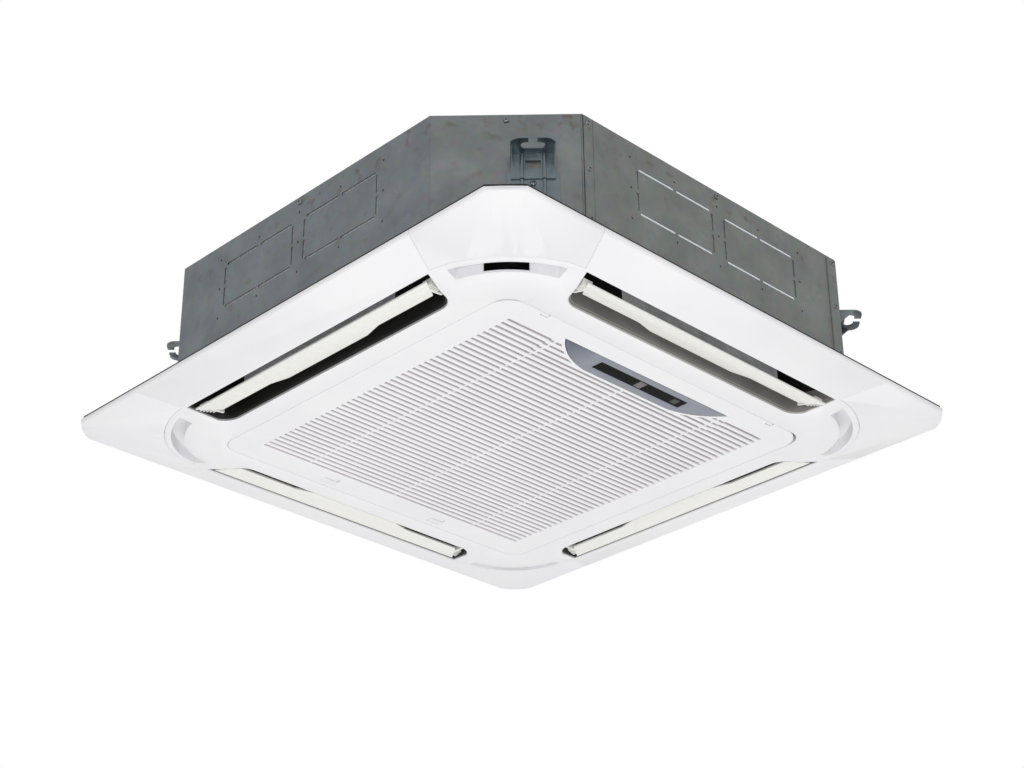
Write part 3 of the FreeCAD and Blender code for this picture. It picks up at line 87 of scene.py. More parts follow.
# %% Small helpers
def linear(hex_text):
    """An sRGB hex colour as the linear RGBA that shaders use."""
    parts = [int(hex_text[i:i + 2], 16) / 255 for i in (1, 3, 5)]
    curve = [c / 12.92 if c <= 0.04045 else ((c + 0.055) / 1.055) ** 2.4 for c in parts]
    return (*curve, 1.0)


def per_metre(size_mm):
    """The texture scale that gives a pattern this size in millimetres."""
    return 1 / (size_mm * MM)


def add(tree, kind, settings=None, inputs=None):
    """Adds a node; an input that is a socket is linked, and any other is set."""
    made = tree.nodes.new(kind)
    for name, value in (settings or {}).items():
        setattr(made, name, value)
    for name, value in (inputs or {}).items():
        socket = made.inputs[name]
        if isinstance(value, bpy.types.NodeSocket):
            tree.links.new(value, socket)
        else:
            socket.default_value = value
    return made


# %% [markdown]
# The photograph was taken from below one corner with a short telephoto lens.
# The camera's place, angle and focal length were found by matching the outline
# of the panel and the casing, so the CAD model falls on the picture by itself.

# %% Camera
PIXELS_WIDE = 1024
FOCAL_PIXELS = 2067.0
SENSOR_MM = 36.0
AZIMUTH = math.radians(-44.62)
ELEVATION = math.radians(-27.9)
ROLL = math.radians(-0.54)
CAMERA_PLACE = (-1.952, -1.980, -1.555)
SIGHT_END = 100

backward = Vector((
    math.sin(AZIMUTH) * math.cos(ELEVATION),
    -math.cos(AZIMUTH) * math.cos(ELEVATION),
    math.sin(ELEVATION),
))
level = (-backward).cross(Vector((0, 0, 1))).normalized()
upright = level.cross(-backward)
right = math.cos(ROLL) * level + math.sin(ROLL) * upright
up = -math.sin(ROLL) * level + math.cos(ROLL) * upright

camera_data = bpy.data.cameras.new("camera")
camera_data.sensor_width = SENSOR_MM
camera_data.lens = FOCAL_PIXELS / PIXELS_WIDE * SENSOR_MM
camera_data.clip_end = SIGHT_END
camera = bpy.data.objects.new("camera", camera_data)
bpy.context.scene.collection.objects.link(camera)
turn = Matrix((right, up, backward)).transposed().to_4x4()
camera.matrix_world = Matrix.Translation(CAMERA_PLACE) @ turn
bpy.context.scene.camera = camera
print("lens", round(camera_data.lens, 1), "mm")

# %% [markdown]
# A catalogue picture like this is lit from all round, with one softer, larger
# source under the panel. The world gives the even part. It looks white to the
# camera, in mirrors and through glass, and shines less strongly on the object,
# so that white plastic stays just below white.

# %% World, floor and lamps
scene = bpy.context.scene
scene.view_settings.view_transform = "Standard"
WORLD_LIGHT = 0.56
world = bpy.data.worlds.new("studio")
world.use_nodes = True
scene.world = world
tree = world.node_tree
tree.nodes.clear()
path = add(tree, "ShaderNodeLightPath")
seen = add(tree, "ShaderNodeMath", {"operation": "MAXIMUM"},
           {0: path.outputs["Is Camera Ray"], 1: path.outputs["Is Glossy Ray"]})
seen = add(tree, "ShaderNodeMath", {"operation": "MAXIMUM"},
           {0: seen.outputs[0], 1: path.outputs["Is Transmission Ray"]})
strength = add(tree, "ShaderNodeMapRange", None,
               {"Value": seen.outputs[0], "To Min": WORLD_LIGHT, "To Max": 1.0})
sky = add(tree, "ShaderNodeBackground", None,
          {"Color": (1, 1, 1, 1), "Strength": strength.outputs["Result"]})
add(tree, "ShaderNodeOutputWorld", None, {"Surface": sky.outputs[0]})

FLOOR_Z = -2.6
FLOOR_HALF = 6.0
floor_mesh = bpy.data.meshes.new("floor")
floor_mesh.from_pydata(
    [(x * FLOOR_HALF, y * FLOOR_HALF, FLOOR_Z) for x, y in ((-1, -1), (1, -1), (1, 1), (-1, 1))],
    [], [(0, 1, 2, 3)])
floor = bpy.data.objects.new("floor", floor_mesh)
scene.collection.objects.link(floor)


def lamp(name, place, aim, size, watts):
    """A square soft lamp at a place, turned to an aim."""
    data = bpy.data.lights.new(name, "AREA")
    data.size = size
    data.energy = watts
    body = bpy.data.objects.new(name, data)
    aimed = (Vector(aim) - Vector(place)).to_track_quat("-Z", "Y").to_matrix().to_4x4()
    body.matrix_world = Matrix.Translation(place) @ aimed
    scene.collection.objects.link(body)


# Each lamp has its place and aim, its width in metres and its power in watts.
LAMPS = {
    "under_lamp": ((0.08, 0.08, -2.3), (0, 0, -0.15), 2.6, 23),
    "camera_lamp": ((-2.25, -2.06, -1.7), (0, 0, -0.1), 0.5, 24),
    "front_lamp": ((1.4, -2.6, -0.7), (0, 0, -0.05), 1.6, 3.5),
}
for name, setting in LAMPS.items():
    lamp(name, *setting)
print("world", WORLD_LIGHT, "and", len(LAMPS), "lamps")

# %% [markdown]
# Each finish starts from a Principled shader named for the real material. The
# pattern in it reads Object coordinates, which on these pieces are metres in
# the CAD frame, so a grain of 2 mm is 2 mm wherever it lies.

# %% A finish to build on
PLASTIC_IOR = 1.5
CLOUD_LOW = 0.3
CLOUD_HIGH = 0.7
GRAIN_STRENGTH = 0.5


def finish(name, hex_text, roughness, metallic=0.0):
    """A material with one Principled shader; returns it with its tree and shader."""
    made = bpy.data.materials.new(name)
    made.use_nodes = True
    tree = made.node_tree
    tree.nodes.clear()
    settings = {"Base Color": linear(hex_text), "Roughness": roughness, "Metallic": metallic}
    if metallic == 0:
        settings["IOR"] = PLASTIC_IOR
    shader = add(tree, "ShaderNodeBsdfPrincipled", None, settings)
    add(tree, "ShaderNodeOutputMaterial", None, {"Surface": shader.outputs[0]})
    return made, tree, shader


def mottle(tree, shader, hexes, size_mm, rough, grain_mm, depth_mm, detail=3.0):
    """Clouds of colour and gloss of one size, and a fine grain that stands up."""
    place = add(tree, "ShaderNodeTexCoord").outputs["Object"]
    cloud = add(tree, "ShaderNodeTexNoise", None,
                {"Vector": place, "Scale": per_metre(size_mm), "Detail": detail})
    ramp = add(tree, "ShaderNodeValToRGB", None, {"Fac": cloud.outputs["Fac"]})
    ramp.color_ramp.elements[0].position = CLOUD_LOW
    ramp.color_ramp.elements[1].position = CLOUD_HIGH
    for stop, text in zip(ramp.color_ramp.elements, hexes):
        stop.color = linear(text)
    tree.links.new(ramp.outputs["Color"], shader.inputs["Base Color"])
    gloss = add(tree, "ShaderNodeMapRange", None,
                {"Value": cloud.outputs["Fac"], "To Min": rough[0], "To Max": rough[1]})
    tree.links.new(gloss.outputs["Result"], shader.inputs["Roughness"])
    grain = add(tree, "ShaderNodeTexNoise", None,
                {"Vector": place, "Scale": per_metre(grain_mm), "Detail": 1.0})
    bump = add(tree, "ShaderNodeBump", None,
               {"Height": grain.outputs["Fac"], "Distance": depth_mm * MM, "Strength": GRAIN_STRENGTH})
    tree.links.new(bump.outputs["Normal"], shader.inputs["Normal"])
    return place, ramp


# %% [markdown]
# One material can look different from place to place. A mask is a number made
# from the coordinates, 1 inside a range and 0 outside, and a ramp turns a number
# into a colour.

# %% Masks and ramps
def between(tree, value, low_mm, high_mm):
    """1 where a length in metres lies between two sizes, and 0 elsewhere."""
    middle = (low_mm + high_mm) / 2 * MM
    half = (high_mm - low_mm) / 2 * MM
    mask = add(tree, "ShaderNodeMath", {"operation": "COMPARE"}, {0: value, 1: middle, 2: half})
    return mask.outputs[0]


def times(tree, first, *others):
    """The product of numbers."""
    for value in others:
        product = add(tree, "ShaderNodeMath", {"operation": "MULTIPLY"}, {0: first, 1: value})
        first = product.outputs[0]
    return first


def steps(tree, share, *stops):
    """A colour that runs through stops, each a share and a hex colour."""
    ramp = add(tree, "ShaderNodeValToRGB", None, {"Fac": share})
    points = ramp.color_ramp.elements
    while len(points) < len(stops):
        points.new(0.5)
    for point, (at, text) in zip(points, stops):
        point.position = at
        point.color = linear(text)
    return ramp.outputs["Color"]


def blend(tree, share, first, second, kind="MIX"):
    """One colour over another by a share."""
    mix = add(tree, "ShaderNodeMix", {"data_type": "RGBA", "blend_type": kind},
              {"Factor": share, "A": first, "B": second})
    return mix.outputs["Result"]


# %% [markdown]
# Hot-dip galvanised sheet is dull grey zinc. Its crystals give a faint mottle of
# about a centimetre, and handling leaves a few brownish stains on the walls, most
# near the upper fold. The left and the front sheet are tinted a little darker,
# the left one cooler and the front one warmer.

# %% Galvanised sheet
CRYSTAL_MM = 11
CRYSTAL_SHARE = 0.05
STAIN_MM = 20
STAIN_FROM = 0.57
STAIN_FULL = 0.72
STAIN_MOST = 0.75
STAIN_LOW_SHARE = 0.35
STAIN_LOW_MM = 20
STAIN_HIGH_MM = 50
WALL_FOOT_MM = -200
WALL_TOP_MM = 65.5
SHEET_OUT_MM = -430
SHEET_IN_MM = -418.5
galvanised, tree, shader = finish("galvanised_steel", "#7b8081", 0.5, metallic=0.8)
place, zinc = mottle(tree, shader, ("#6c7172", "#7f8484"), 60, (0.42, 0.58), 1.2, 0.02)
crystal = add(tree, "ShaderNodeTexVoronoi", None,
              {"Vector": place, "Scale": per_metre(CRYSTAL_MM)})
facet = blend(tree, CRYSTAL_SHARE, zinc.outputs["Color"], crystal.outputs["Color"], "OVERLAY")
here = add(tree, "ShaderNodeSeparateXYZ", None, {"Vector": place})
stain = add(tree, "ShaderNodeTexNoise", None,
            {"Vector": place, "Scale": per_metre(STAIN_MM), "Detail": 5.0})
where = add(tree, "ShaderNodeMapRange", None,
            {"Value": stain.outputs["Fac"], "From Min": STAIN_FROM, "From Max": STAIN_FULL,
             "To Min": 0.0, "To Max": STAIN_MOST})
upper = add(tree, "ShaderNodeMapRange", None,
            {"Value": here.outputs["Z"], "From Min": STAIN_LOW_MM * MM,
             "From Max": STAIN_HIGH_MM * MM, "To Min": STAIN_LOW_SHARE})
walls = between(tree, here.outputs["Z"], WALL_FOOT_MM, WALL_TOP_MM)
rusty = blend(tree, times(tree, where.outputs["Result"], upper.outputs["Result"], walls),
              facet, linear("#5f4a36"))
left_sheet = between(tree, here.outputs["X"], SHEET_OUT_MM, SHEET_IN_MM)
front_sheet = between(tree, here.outputs["Y"], SHEET_OUT_MM, SHEET_IN_MM)
rusty = blend(tree, left_sheet, rusty, linear("#f3f6fc"), "MULTIPLY")
rusty = blend(tree, front_sheet, rusty, linear("#f8f6f1"), "MULTIPLY")
tree.links.new(rusty, shader.inputs["Base Color"])
print("finish", galvanised.name)

# %% [markdown]
# The hangers are thicker, bluish steel, and the screws bright zinc plate.

# %% Hanger steel and zinc plate
hanger_steel, tree, shader = finish("zinc_plated_hanger_steel", "#7d868a", 0.45, metallic=0.85)
mottle(tree, shader, ("#5d686e", "#737d82"), 30, (0.26, 0.4), 1.0, 0.02)
zinc_plate, tree, shader = finish("zinc_plated_screw", "#8b8e90", 0.26, metallic=1.0)
mottle(tree, shader, ("#64676a", "#85888a"), 4, (0.18, 0.3), 0.6, 0.02)
print("finishes", hanger_steel.name, zinc_plate.name)

# %% [markdown]
# The panel is moulded polystyrene with a fine spark-eroded grain: cool white,
# and glossy only at a low angle. The walls of the outlets get painted shade that
# deepens inward, and the sides of the slats a pink-grey painted shade.

# %% White panel
FACE_Z_MM = -182.0
FLAT_HALF_MM = 361.0
BORDER_RISE = 28 / 114
OUTLET_REACH_MM = 272.0
OUTLET_LOW_MM = 340.0
OUTLET_HIGH_MM = 413.0
WALL_DEPTH_MM = 8.0
WALL_SHARES = (0.2, 0.23, 0.5, 0.53)
BELOW_ZERO_MM = -1
FRONT_OUT_MM = -500
FRONT_IN_MM = -300
GAP_SHADE_FROM_MM = 0.6
GAP_SHADE_FULL_MM = 5
INTAKE_HALF_MM = 266
ROOF_LOW_MM = -152.5
ROOF_HIGH_MM = -140
POCKET_LOW_MM = 285
POCKET_HIGH_MM = 400


def side_place(tree, place):
    """How far out a point is on its own side, and how far along that side."""
    far = add(tree, "ShaderNodeVectorMath", {"operation": "ABSOLUTE"}, {0: place})
    axis = add(tree, "ShaderNodeSeparateXYZ", None, {"Vector": far.outputs[0]})
    reach, along = [add(tree, "ShaderNodeMath", {"operation": kind},
                        {0: axis.outputs["X"], 1: axis.outputs["Y"]}).outputs[0]
                    for kind in ("MAXIMUM", "MINIMUM")]
    return reach, along


def panel_depth(tree, reach, here):
    """How deep a point lies behind the face of the panel, which rises to its border."""
    past = add(tree, "ShaderNodeMath", {"operation": "SUBTRACT"}, {0: reach, 1: FLAT_HALF_MM * MM})
    past = add(tree, "ShaderNodeMath", {"operation": "MAXIMUM"}, {0: past.outputs[0], 1: 0.0})
    skin = add(tree, "ShaderNodeMath", {"operation": "MULTIPLY_ADD"},
               {0: past.outputs[0], 1: BORDER_RISE, 2: FACE_Z_MM * MM})
    depth = add(tree, "ShaderNodeMath", {"operation": "SUBTRACT"},
                {0: here.outputs["Z"], 1: skin.outputs[0]})
    return depth.outputs[0]


panel_white, tree, shader = finish("moulded_white_polystyrene", "#f1f1f4", 0.42)
place, white = mottle(tree, shader, ("#efeff3", "#f3f3f5"), 120, (0.38, 0.46), 0.9, 0.012)
reach, along = side_place(tree, place)
here = add(tree, "ShaderNodeSeparateXYZ", None, {"Vector": place})
depth = panel_depth(tree, reach, here)
front = between(tree, here.outputs["Y"], FRONT_OUT_MM, FRONT_IN_MM)
# The walls of the outlets: a pale lip, then painted shade deeper in, lightest on the side of the
# display, where more light falls.
wall_shade = add(tree, "ShaderNodeMapRange", None, {"Value": depth, "From Max": WALL_DEPTH_MM * MM})
wall_shade = times(tree, wall_shade.outputs["Result"],
             between(tree, along, BELOW_ZERO_MM, OUTLET_REACH_MM),
             between(tree, reach, OUTLET_LOW_MM, OUTLET_HIGH_MM))
front_wall = steps(tree, wall_shade, *zip(WALL_SHARES, ("#ffffff", "#b8b6ab", "#b0aea4", "#8a8783")))
side_wall = steps(tree, wall_shade, *zip(WALL_SHARES, ("#ffffff", "#a2a4a5", "#8f9192", "#262423")))
wall = blend(tree, front, side_wall, front_wall)
colour = blend(tree, 1.0, white.outputs["Color"], wall, "MULTIPLY")
# Painted shade, a little pink, on the sides of the gaps of the intake.
gap_shade = add(tree, "ShaderNodeMapRange", None,
           {"Value": depth, "From Min": GAP_SHADE_FROM_MM * MM, "From Max": GAP_SHADE_FULL_MM * MM})
gap_shade = times(tree, gap_shade.outputs["Result"], between(tree, reach, BELOW_ZERO_MM, INTAKE_HALF_MM))
pink = steps(tree, gap_shade, (0.0, "#ffffff"), (1.0, "#e4dadc"))
colour = blend(tree, 1.0, colour, pink, "MULTIPLY")
# Above the corner pockets it is painted near-black: painted shade inside the pockets.
pocket_roof_shade = times(tree, between(tree, here.outputs["Z"], ROOF_LOW_MM, ROOF_HIGH_MM),
             between(tree, along, POCKET_LOW_MM, POCKET_HIGH_MM),
             between(tree, reach, POCKET_LOW_MM, POCKET_HIGH_MM))
tree.links.new(blend(tree, pocket_roof_shade, colour, linear("#0d0c0c")), shader.inputs["Base Color"])
print("finish", panel_white.name)

# %% [markdown]
# The louvers are flocked against dew, which makes them ivory and quite matt. The
# flock stands in neat rows of dots, and the comb fins at the ends of a blade are
# coloured tan.

# %% Flocked louver
FLOCK_PITCH_MM = 2.6
DOT_SPREAD = 0.12
DOT_FROM = 0.1
DOT_TO = 0.5
DOT_SHADE = 0.965
COMB_FROM_MM = 251.5
COMB_TO_MM = 280
flock, tree, shader = finish("flocked_ivory_plastic", "#e9e9e5", 0.85)
place, ivory = mottle(tree, shader, ("#f1f1ec", "#f6f6f2"), 9, (0.8, 0.92), 1.6, 0.06)
dots = add(tree, "ShaderNodeTexVoronoi", {"distance": "CHEBYCHEV"},
           {"Vector": place, "Scale": per_metre(FLOCK_PITCH_MM), "Randomness": DOT_SPREAD})
speck = add(tree, "ShaderNodeMapRange", None,
            {"Value": dots.outputs["Distance"], "From Min": DOT_FROM, "From Max": DOT_TO,
             "To Min": 1.0, "To Max": DOT_SHADE})
rows = blend(tree, 1.0, ivory.outputs["Color"], speck.outputs["Result"], "MULTIPLY")
reach, along = side_place(tree, place)
comb = between(tree, along, COMB_FROM_MM, COMB_TO_MM)
tree.links.new(blend(tree, comb, rows, linear("#8d8270")), shader.inputs["Base Color"])
print("finish", flock.name)

# %% [markdown]
# Behind the openings most is dark: moulded black and grey plastic, foam with a
# skin, and rubber. They differ mostly in gloss and in grain. The duct liner on
# the side of the display is painted grey and the others near-black, painted light
# and shade for the light that falls mostly on that side. The drain pan is pale
# along the middle of two air passages and near-black elsewhere.

# %% Dark plastics, foam and rubber
FILM_FROM_MM = -125.0
FILM_TO_MM = 210.0
PAN_OUT_MM = -420
duct_grey, tree, shader = finish("moulded_duct_plastic", "#848280", 0.45)
place, grey = mottle(tree, shader, ("#7f7d7a", "#8d8b88"), 40, (0.36, 0.5), 0.9, 0.02)
here = add(tree, "ShaderNodeSeparateXYZ", None, {"Vector": place})
front = between(tree, here.outputs["Y"], FRONT_OUT_MM, FRONT_IN_MM)
# Painted light and shade: grey on the side of the display, near-black on the others.
duct = blend(tree, front, linear("#1d1c1b"), grey.outputs["Color"])
tree.links.new(duct, shader.inputs["Base Color"])
film_foam, tree, shader = finish("film_faced_foam", "#d5d7de", 0.4)
place, film = mottle(tree, shader, ("#d8dbe4", "#ffffff"), 18, (0.25, 0.6), 7.0, 0.7, detail=5.0)
here = add(tree, "ShaderNodeSeparateXYZ", None, {"Vector": place})
# Pale along the middle of the front and left passages, near-black elsewhere.
sides = [times(tree, between(tree, here.outputs[along], FILM_FROM_MM, FILM_TO_MM),
               between(tree, here.outputs[out], PAN_OUT_MM, FRONT_IN_MM))
         for along, out in ("XY", "YX")]
filmed = add(tree, "ShaderNodeMath", {"operation": "MAXIMUM"}, {0: sides[0], 1: sides[1]})
lined = blend(tree, filmed.outputs[0], linear("#141314"), film.outputs["Color"])
tree.links.new(lined, shader.inputs["Base Color"])
white_foam, tree, shader = finish("expanded_polystyrene", "#d9dcdf", 0.8)
mottle(tree, shader, ("#cfd3d6", "#e1e3e5"), 5, (0.7, 0.9), 4.0, 0.2)
seal_foam, tree, shader = finish("closed_cell_seal_foam", "#2a2422", 0.9)
mottle(tree, shader, ("#211c1a", "#332c29"), 4, (0.85, 0.95), 1.5, 0.15)
rubber, tree, shader = finish("black_rubber", "#191919", 0.6)
mottle(tree, shader, ("#131313", "#202020"), 10, (0.5, 0.7), 1.0, 0.03)
fan_black, tree, shader = finish("glass_filled_fan_plastic", "#2b2b2e", 0.5)
mottle(tree, shader, ("#252528", "#323236"), 8, (0.42, 0.58), 0.8, 0.03)
bell_grey, tree, shader = finish("moulded_grey_plastic", "#a9abab", 0.5)
mottle(tree, shader, ("#a2a4a5", "#b0b2b2"), 50, (0.42, 0.56), 0.9, 0.02)
print("finishes", duct_grey.name, film_foam.name, white_foam.name, seal_foam.name, rubber.name,
      fan_black.name, bell_grey.name)

# %% [markdown]
# Metals inside: drawn copper, turned brass, and aluminium fins that stand about
# 2 mm apart, which is just coarse enough to draw as stripes: light fins with
# painted shade in the gaps between them.

# %% Copper, brass, aluminium
copper, tree, shader = finish("drawn_copper_tube", "#b8734e", 0.3, metallic=1.0)
mottle(tree, shader, ("#a5623f", "#c5835d"), 15, (0.22, 0.42), 0.8, 0.01)
brass, tree, shader = finish("turned_brass", "#c4a45f", 0.25, metallic=1.0)
mottle(tree, shader, ("#b5954f", "#cdb070"), 8, (0.18, 0.32), 0.5, 0.01)
motor_alloy, tree, shader = finish("pressed_motor_steel", "#85898c", 0.38, metallic=0.9)
mottle(tree, shader, ("#7a7e82", "#8f9396"), 25, (0.3, 0.45), 0.8, 0.01)
fin_alloy, tree, shader = finish("aluminium_fins", "#b4b8bb", 0.4, metallic=0.9)
FIN_PITCH_MM = 2.0
place = add(tree, "ShaderNodeTexCoord").outputs["Object"]
axis = add(tree, "ShaderNodeSeparateXYZ", None, {"Vector": place})
along = add(tree, "ShaderNodeMath", {"operation": "ADD"},
            {0: axis.outputs["X"], 1: axis.outputs["Y"]})
fins = add(tree, "ShaderNodeMath", {"operation": "PINGPONG"},
           {0: along.outputs[0], 1: FIN_PITCH_MM * MM / 2})
shade = add(tree, "ShaderNodeMapRange", None,
            {"Value": fins.outputs[0], "From Max": FIN_PITCH_MM * MM / 2})
# Light fin edges, with painted shade in the gaps between the fins.
fins_with_gap_shade = blend(tree, shade.outputs["Result"], linear("#3c3f42"), linear("#c3c7ca"))
tree.links.new(fins_with_gap_shade, shader.inputs["Base Color"])
print("finishes", copper.name, brass.name, motor_alloy.name, fin_alloy.name)

# %% [markdown]
# The display strip is slate-grey plastic, darker at its left end, with a dark
# acrylic window. The receiver behind the window is smoked and a little lighter.

# %% Display finishes and the electrical parts
END_FROM_MM = -150
END_TO_MM = -100
ACRYLIC_SPECULAR = 0.06
slate, tree, shader = finish("painted_slate_plastic", "#868b98", 0.38)
place, paint = mottle(tree, shader, ("#828794", "#8a8f9c"), 30, (0.32, 0.44), 0.7, 0.01)
here = add(tree, "ShaderNodeSeparateXYZ", None, {"Vector": place})
end = add(tree, "ShaderNodeMapRange", None,
          {"Value": here.outputs["X"], "From Min": END_FROM_MM * MM, "From Max": END_TO_MM * MM,
           "To Min": 1.0, "To Max": 0.0})
strip = blend(tree, end.outputs["Result"], paint.outputs["Color"], linear("#5a6372"))
tree.links.new(strip, shader.inputs["Base Color"])
acrylic, tree, shader = finish("black_acrylic", "#0d0c0d", 0.3)
mottle(tree, shader, ("#0b0a0b", "#121112"), 20, (0.26, 0.34), 2.0, 0.002)
shader.inputs["Specular IOR Level"].default_value = ACRYLIC_SPECULAR
smoked, tree, shader = finish("smoked_receiver_lens", "#6e6b6a", 0.15)
mottle(tree, shader, ("#605d5c", "#7c7978"), 6, (0.1, 0.2), 2.0, 0.005)
button_grey, tree, shader = finish("soft_touch_button", "#3c393a", 0.4)
mottle(tree, shader, ("#353233", "#444142"), 5, (0.35, 0.5), 0.6, 0.01)
board_green, tree, shader = finish("solder_masked_board", "#1f5a37", 0.35)
mottle(tree, shader, ("#194e2e", "#27653f"), 6, (0.25, 0.45), 1.5, 0.02)
terminal_cream, tree, shader = finish("terminal_block_nylon", "#d5d0c0", 0.5)
mottle(tree, shader, ("#ccc7b6", "#dcd8c9"), 10, (0.4, 0.6), 0.8, 0.02)
net_grey, tree, shader = finish("woven_filter_net", "#b9b2b4", 0.7)
mottle(tree, shader, ("#aea7a9", "#c3bdbe"), 6, (0.6, 0.8), 1.2, 0.05)
print("finishes", slate.name, acrylic.name, smoked.name, button_grey.name, board_green.name,
      terminal_cream.name, net_grey.name)

# %% [markdown]
# Which finish each CAD node wears. A node's own material slot is filled, and its
# shape stays as it is.

# %% Dress the CAD nodes
FINISHES = {
    galvanised: ("casing_front_wall", "casing_back_wall", "casing_left_sheet",
                 "casing_right_sheet", "casing_top", "pipe_plate", "coil_end_plates",
                 "electrical_box", "electrical_cover"),
    hanger_steel: ("hanger_near_left", "hanger_near_right", "hanger_far_left",
                   "hanger_far_right"),
    zinc_plate: ("sheet_screws", "panel_bolts", "motor_bolts", "fan_nut"),
    panel_white: ("panel_frame", "corner_cover_near_left", "corner_cover_near_right",
                  "corner_cover_far_left", "corner_cover_far_right", "grille",
                  "hinge_pins", "latch_left", "latch_right"),
    flock: ("louver_front", "louver_right", "louver_back", "louver_left"),
    duct_grey: ("outlet_liners", "louver_motors"),
    film_foam: ("drain_pan",),
    white_foam: ("foam_liner", "float_ball", "float_stem"),
    seal_foam: ("rim_seal", "panel_seals"),
    rubber: ("wiring_pad", "motor_grommets", "drain_plug", "drain_hose"),
    fan_black: ("turbo_fan", "drain_pump", "pump_impeller"),
    bell_grey: ("bell_mouth", "drain_spigot"),
    copper: ("gas_pipe", "liquid_pipe", "coil_bends"),
    brass: ("pipe_unions",),
    motor_alloy: ("fan_motor",),
    fin_alloy: ("coil_fins",),
    slate: ("display_housing",),
    acrylic: ("display_window",),
    smoked: ("display_receiver",),
    button_grey: ("manual_button",),
    board_green: ("control_board",),
    terminal_cream: ("terminal_block",),
    net_grey: ("intake_filter",),
}


def dress(name, material):
    """Fills every material slot of a CAD node, or gives it one."""
    node = nodes[name]
    if not node.material_slots:
        node.data.materials.append(material)
    for slot in node.material_slots:
        slot.material = material


for material, names in FINISHES.items():
    for name in names:
        dress(name, material)
bare = sorted(set(nodes) - {n for names in FINISHES.values() for n in names})
print("dressed", len(nodes) - len(bare), "nodes; bare:", bare)

# %% [markdown]
# CAD edges are perfectly sharp, but every moulded or pressed edge has a small
# radius that catches a line of light. The CAD mesh itself stays as it is: a
# merged copy of it gets flat faces, rounded edges and smooth shading, and then
# stands for the node.

# %% Rounded copies of the outer nodes
EDGE_LIMIT_DEG = 32
FLAT_LIMIT_DEG = 0.4
MERGE_MM = 0.01
EDGE_SEGMENTS = 2
ROUND_PROFILE = 0.5
FLAT_SHARE = 0.999
UPRIGHT_SHARE = 0.1
OUTLINE_MM = 295.0
PANEL_EDGE_MM = 0.8
GRILLE_EDGE_MM = 0.6
LOUVER_EDGE_MM = 0.6
DISPLAY_EDGE_MM = 0.5
HANGER_EDGE_MM = 0.4


def keep_piece(piece, node):
    """Lets a finished piece ride with a node's body."""
    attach(piece, body_of(nodes[node])[0])


def plain_mesh(piece, title):
    """The evaluated shape of an object as a plain mesh."""
    graph = bpy.context.evaluated_depsgraph_get()
    mesh = bpy.data.meshes.new_from_object(piece.evaluated_get(graph))
    mesh.name = title
    return mesh


def lower_outline(shell):
    """The edges round the lower face of a plate, outside OUTLINE_MM."""
    edges = []
    for edge in shell.edges:
        middle = (edge.verts[0].co + edge.verts[1].co) / 2
        tilts = sorted(face.normal.z for face in edge.link_faces)
        outer = max(abs(middle.x), abs(middle.y)) > OUTLINE_MM * MM
        corner = len(tilts) == 2 and tilts[0] < -FLAT_SHARE and abs(tilts[1]) < UPRIGHT_SHARE
        if outer and corner:
            edges.append(edge)
    return edges


def rounded(name, radius_mm, material, cutter=None):
    """A merged copy of a node with rounded edges that stands for it. With a cutter,
    only the lower outline is rounded, and the cutter is taken away."""
    title = name + "_moulded"
    shell = bmesh.new()
    shell.from_mesh(nodes[name].data)
    bmesh.ops.remove_doubles(shell, verts=shell.verts, dist=MERGE_MM * MM)
    bmesh.ops.dissolve_limit(shell, angle_limit=math.radians(FLAT_LIMIT_DEG),
                             verts=shell.verts, edges=shell.edges)
    if cutter:
        bmesh.ops.bevel(shell, geom=lower_outline(shell), offset=radius_mm * MM,
                        segments=EDGE_SEGMENTS, profile=ROUND_PROFILE, affect="EDGES",
                        clamp_overlap=True)
    mesh = bpy.data.meshes.new(title)
    shell.to_mesh(mesh)
    shell.free()
    mesh.polygons.foreach_set("use_smooth", [True] * len(mesh.polygons))
    piece = bpy.data.objects.new(title, mesh)
    scene.collection.objects.link(piece)
    if cutter:
        edge = piece.modifiers.new("edge", "BOOLEAN")
        edge.operation = "DIFFERENCE"
        edge.solver = "EXACT"
        edge.object = cutter
    else:
        edge = piece.modifiers.new("edge", "BEVEL")
        edge.limit_method = "ANGLE"
        edge.angle_limit = math.radians(EDGE_LIMIT_DEG)
        edge.width = radius_mm * MM
        edge.segments = EDGE_SEGMENTS
        edge.harden_normals = True
    mesh = plain_mesh(piece, title)
    piece.modifiers.remove(edge)
    piece.data = mesh
    mesh.set_sharp_from_angle(angle=math.radians(EDGE_LIMIT_DEG))
    if cutter:
        # The broad faces stay flat, so that the noses don't shade across them.
        curved = [abs(face.normal.z) < FLAT_SHARE for face in mesh.polygons]
        mesh.polygons.foreach_set("use_smooth", curved)
    mesh.materials.clear()
    mesh.materials.append(material)
    keep_piece(piece, name)
    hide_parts(name)
    print(title, len(mesh.polygons), "faces")


for name in ("panel_frame", "corner_cover_near_left", "corner_cover_near_right",
             "corner_cover_far_left", "corner_cover_far_right"):
    rounded(name, PANEL_EDGE_MM, panel_white)
for side in ("front", "right", "back", "left"):
    rounded("louver_" + side, LOUVER_EDGE_MM, flock)
rounded("display_housing", DISPLAY_EDGE_MM, slate)
for corner in ("near_left", "near_right", "far_left", "far_right"):
    rounded("hanger_" + corner, HANGER_EDGE_MM, hanger_steel)

# %% [markdown]
# What repeats is made by Geometry Nodes: a tree takes a mesh and a few named
# sizes, sets copies on points, and makes them real. The result is kept as a
# plain mesh, so nothing depends on the tree later.

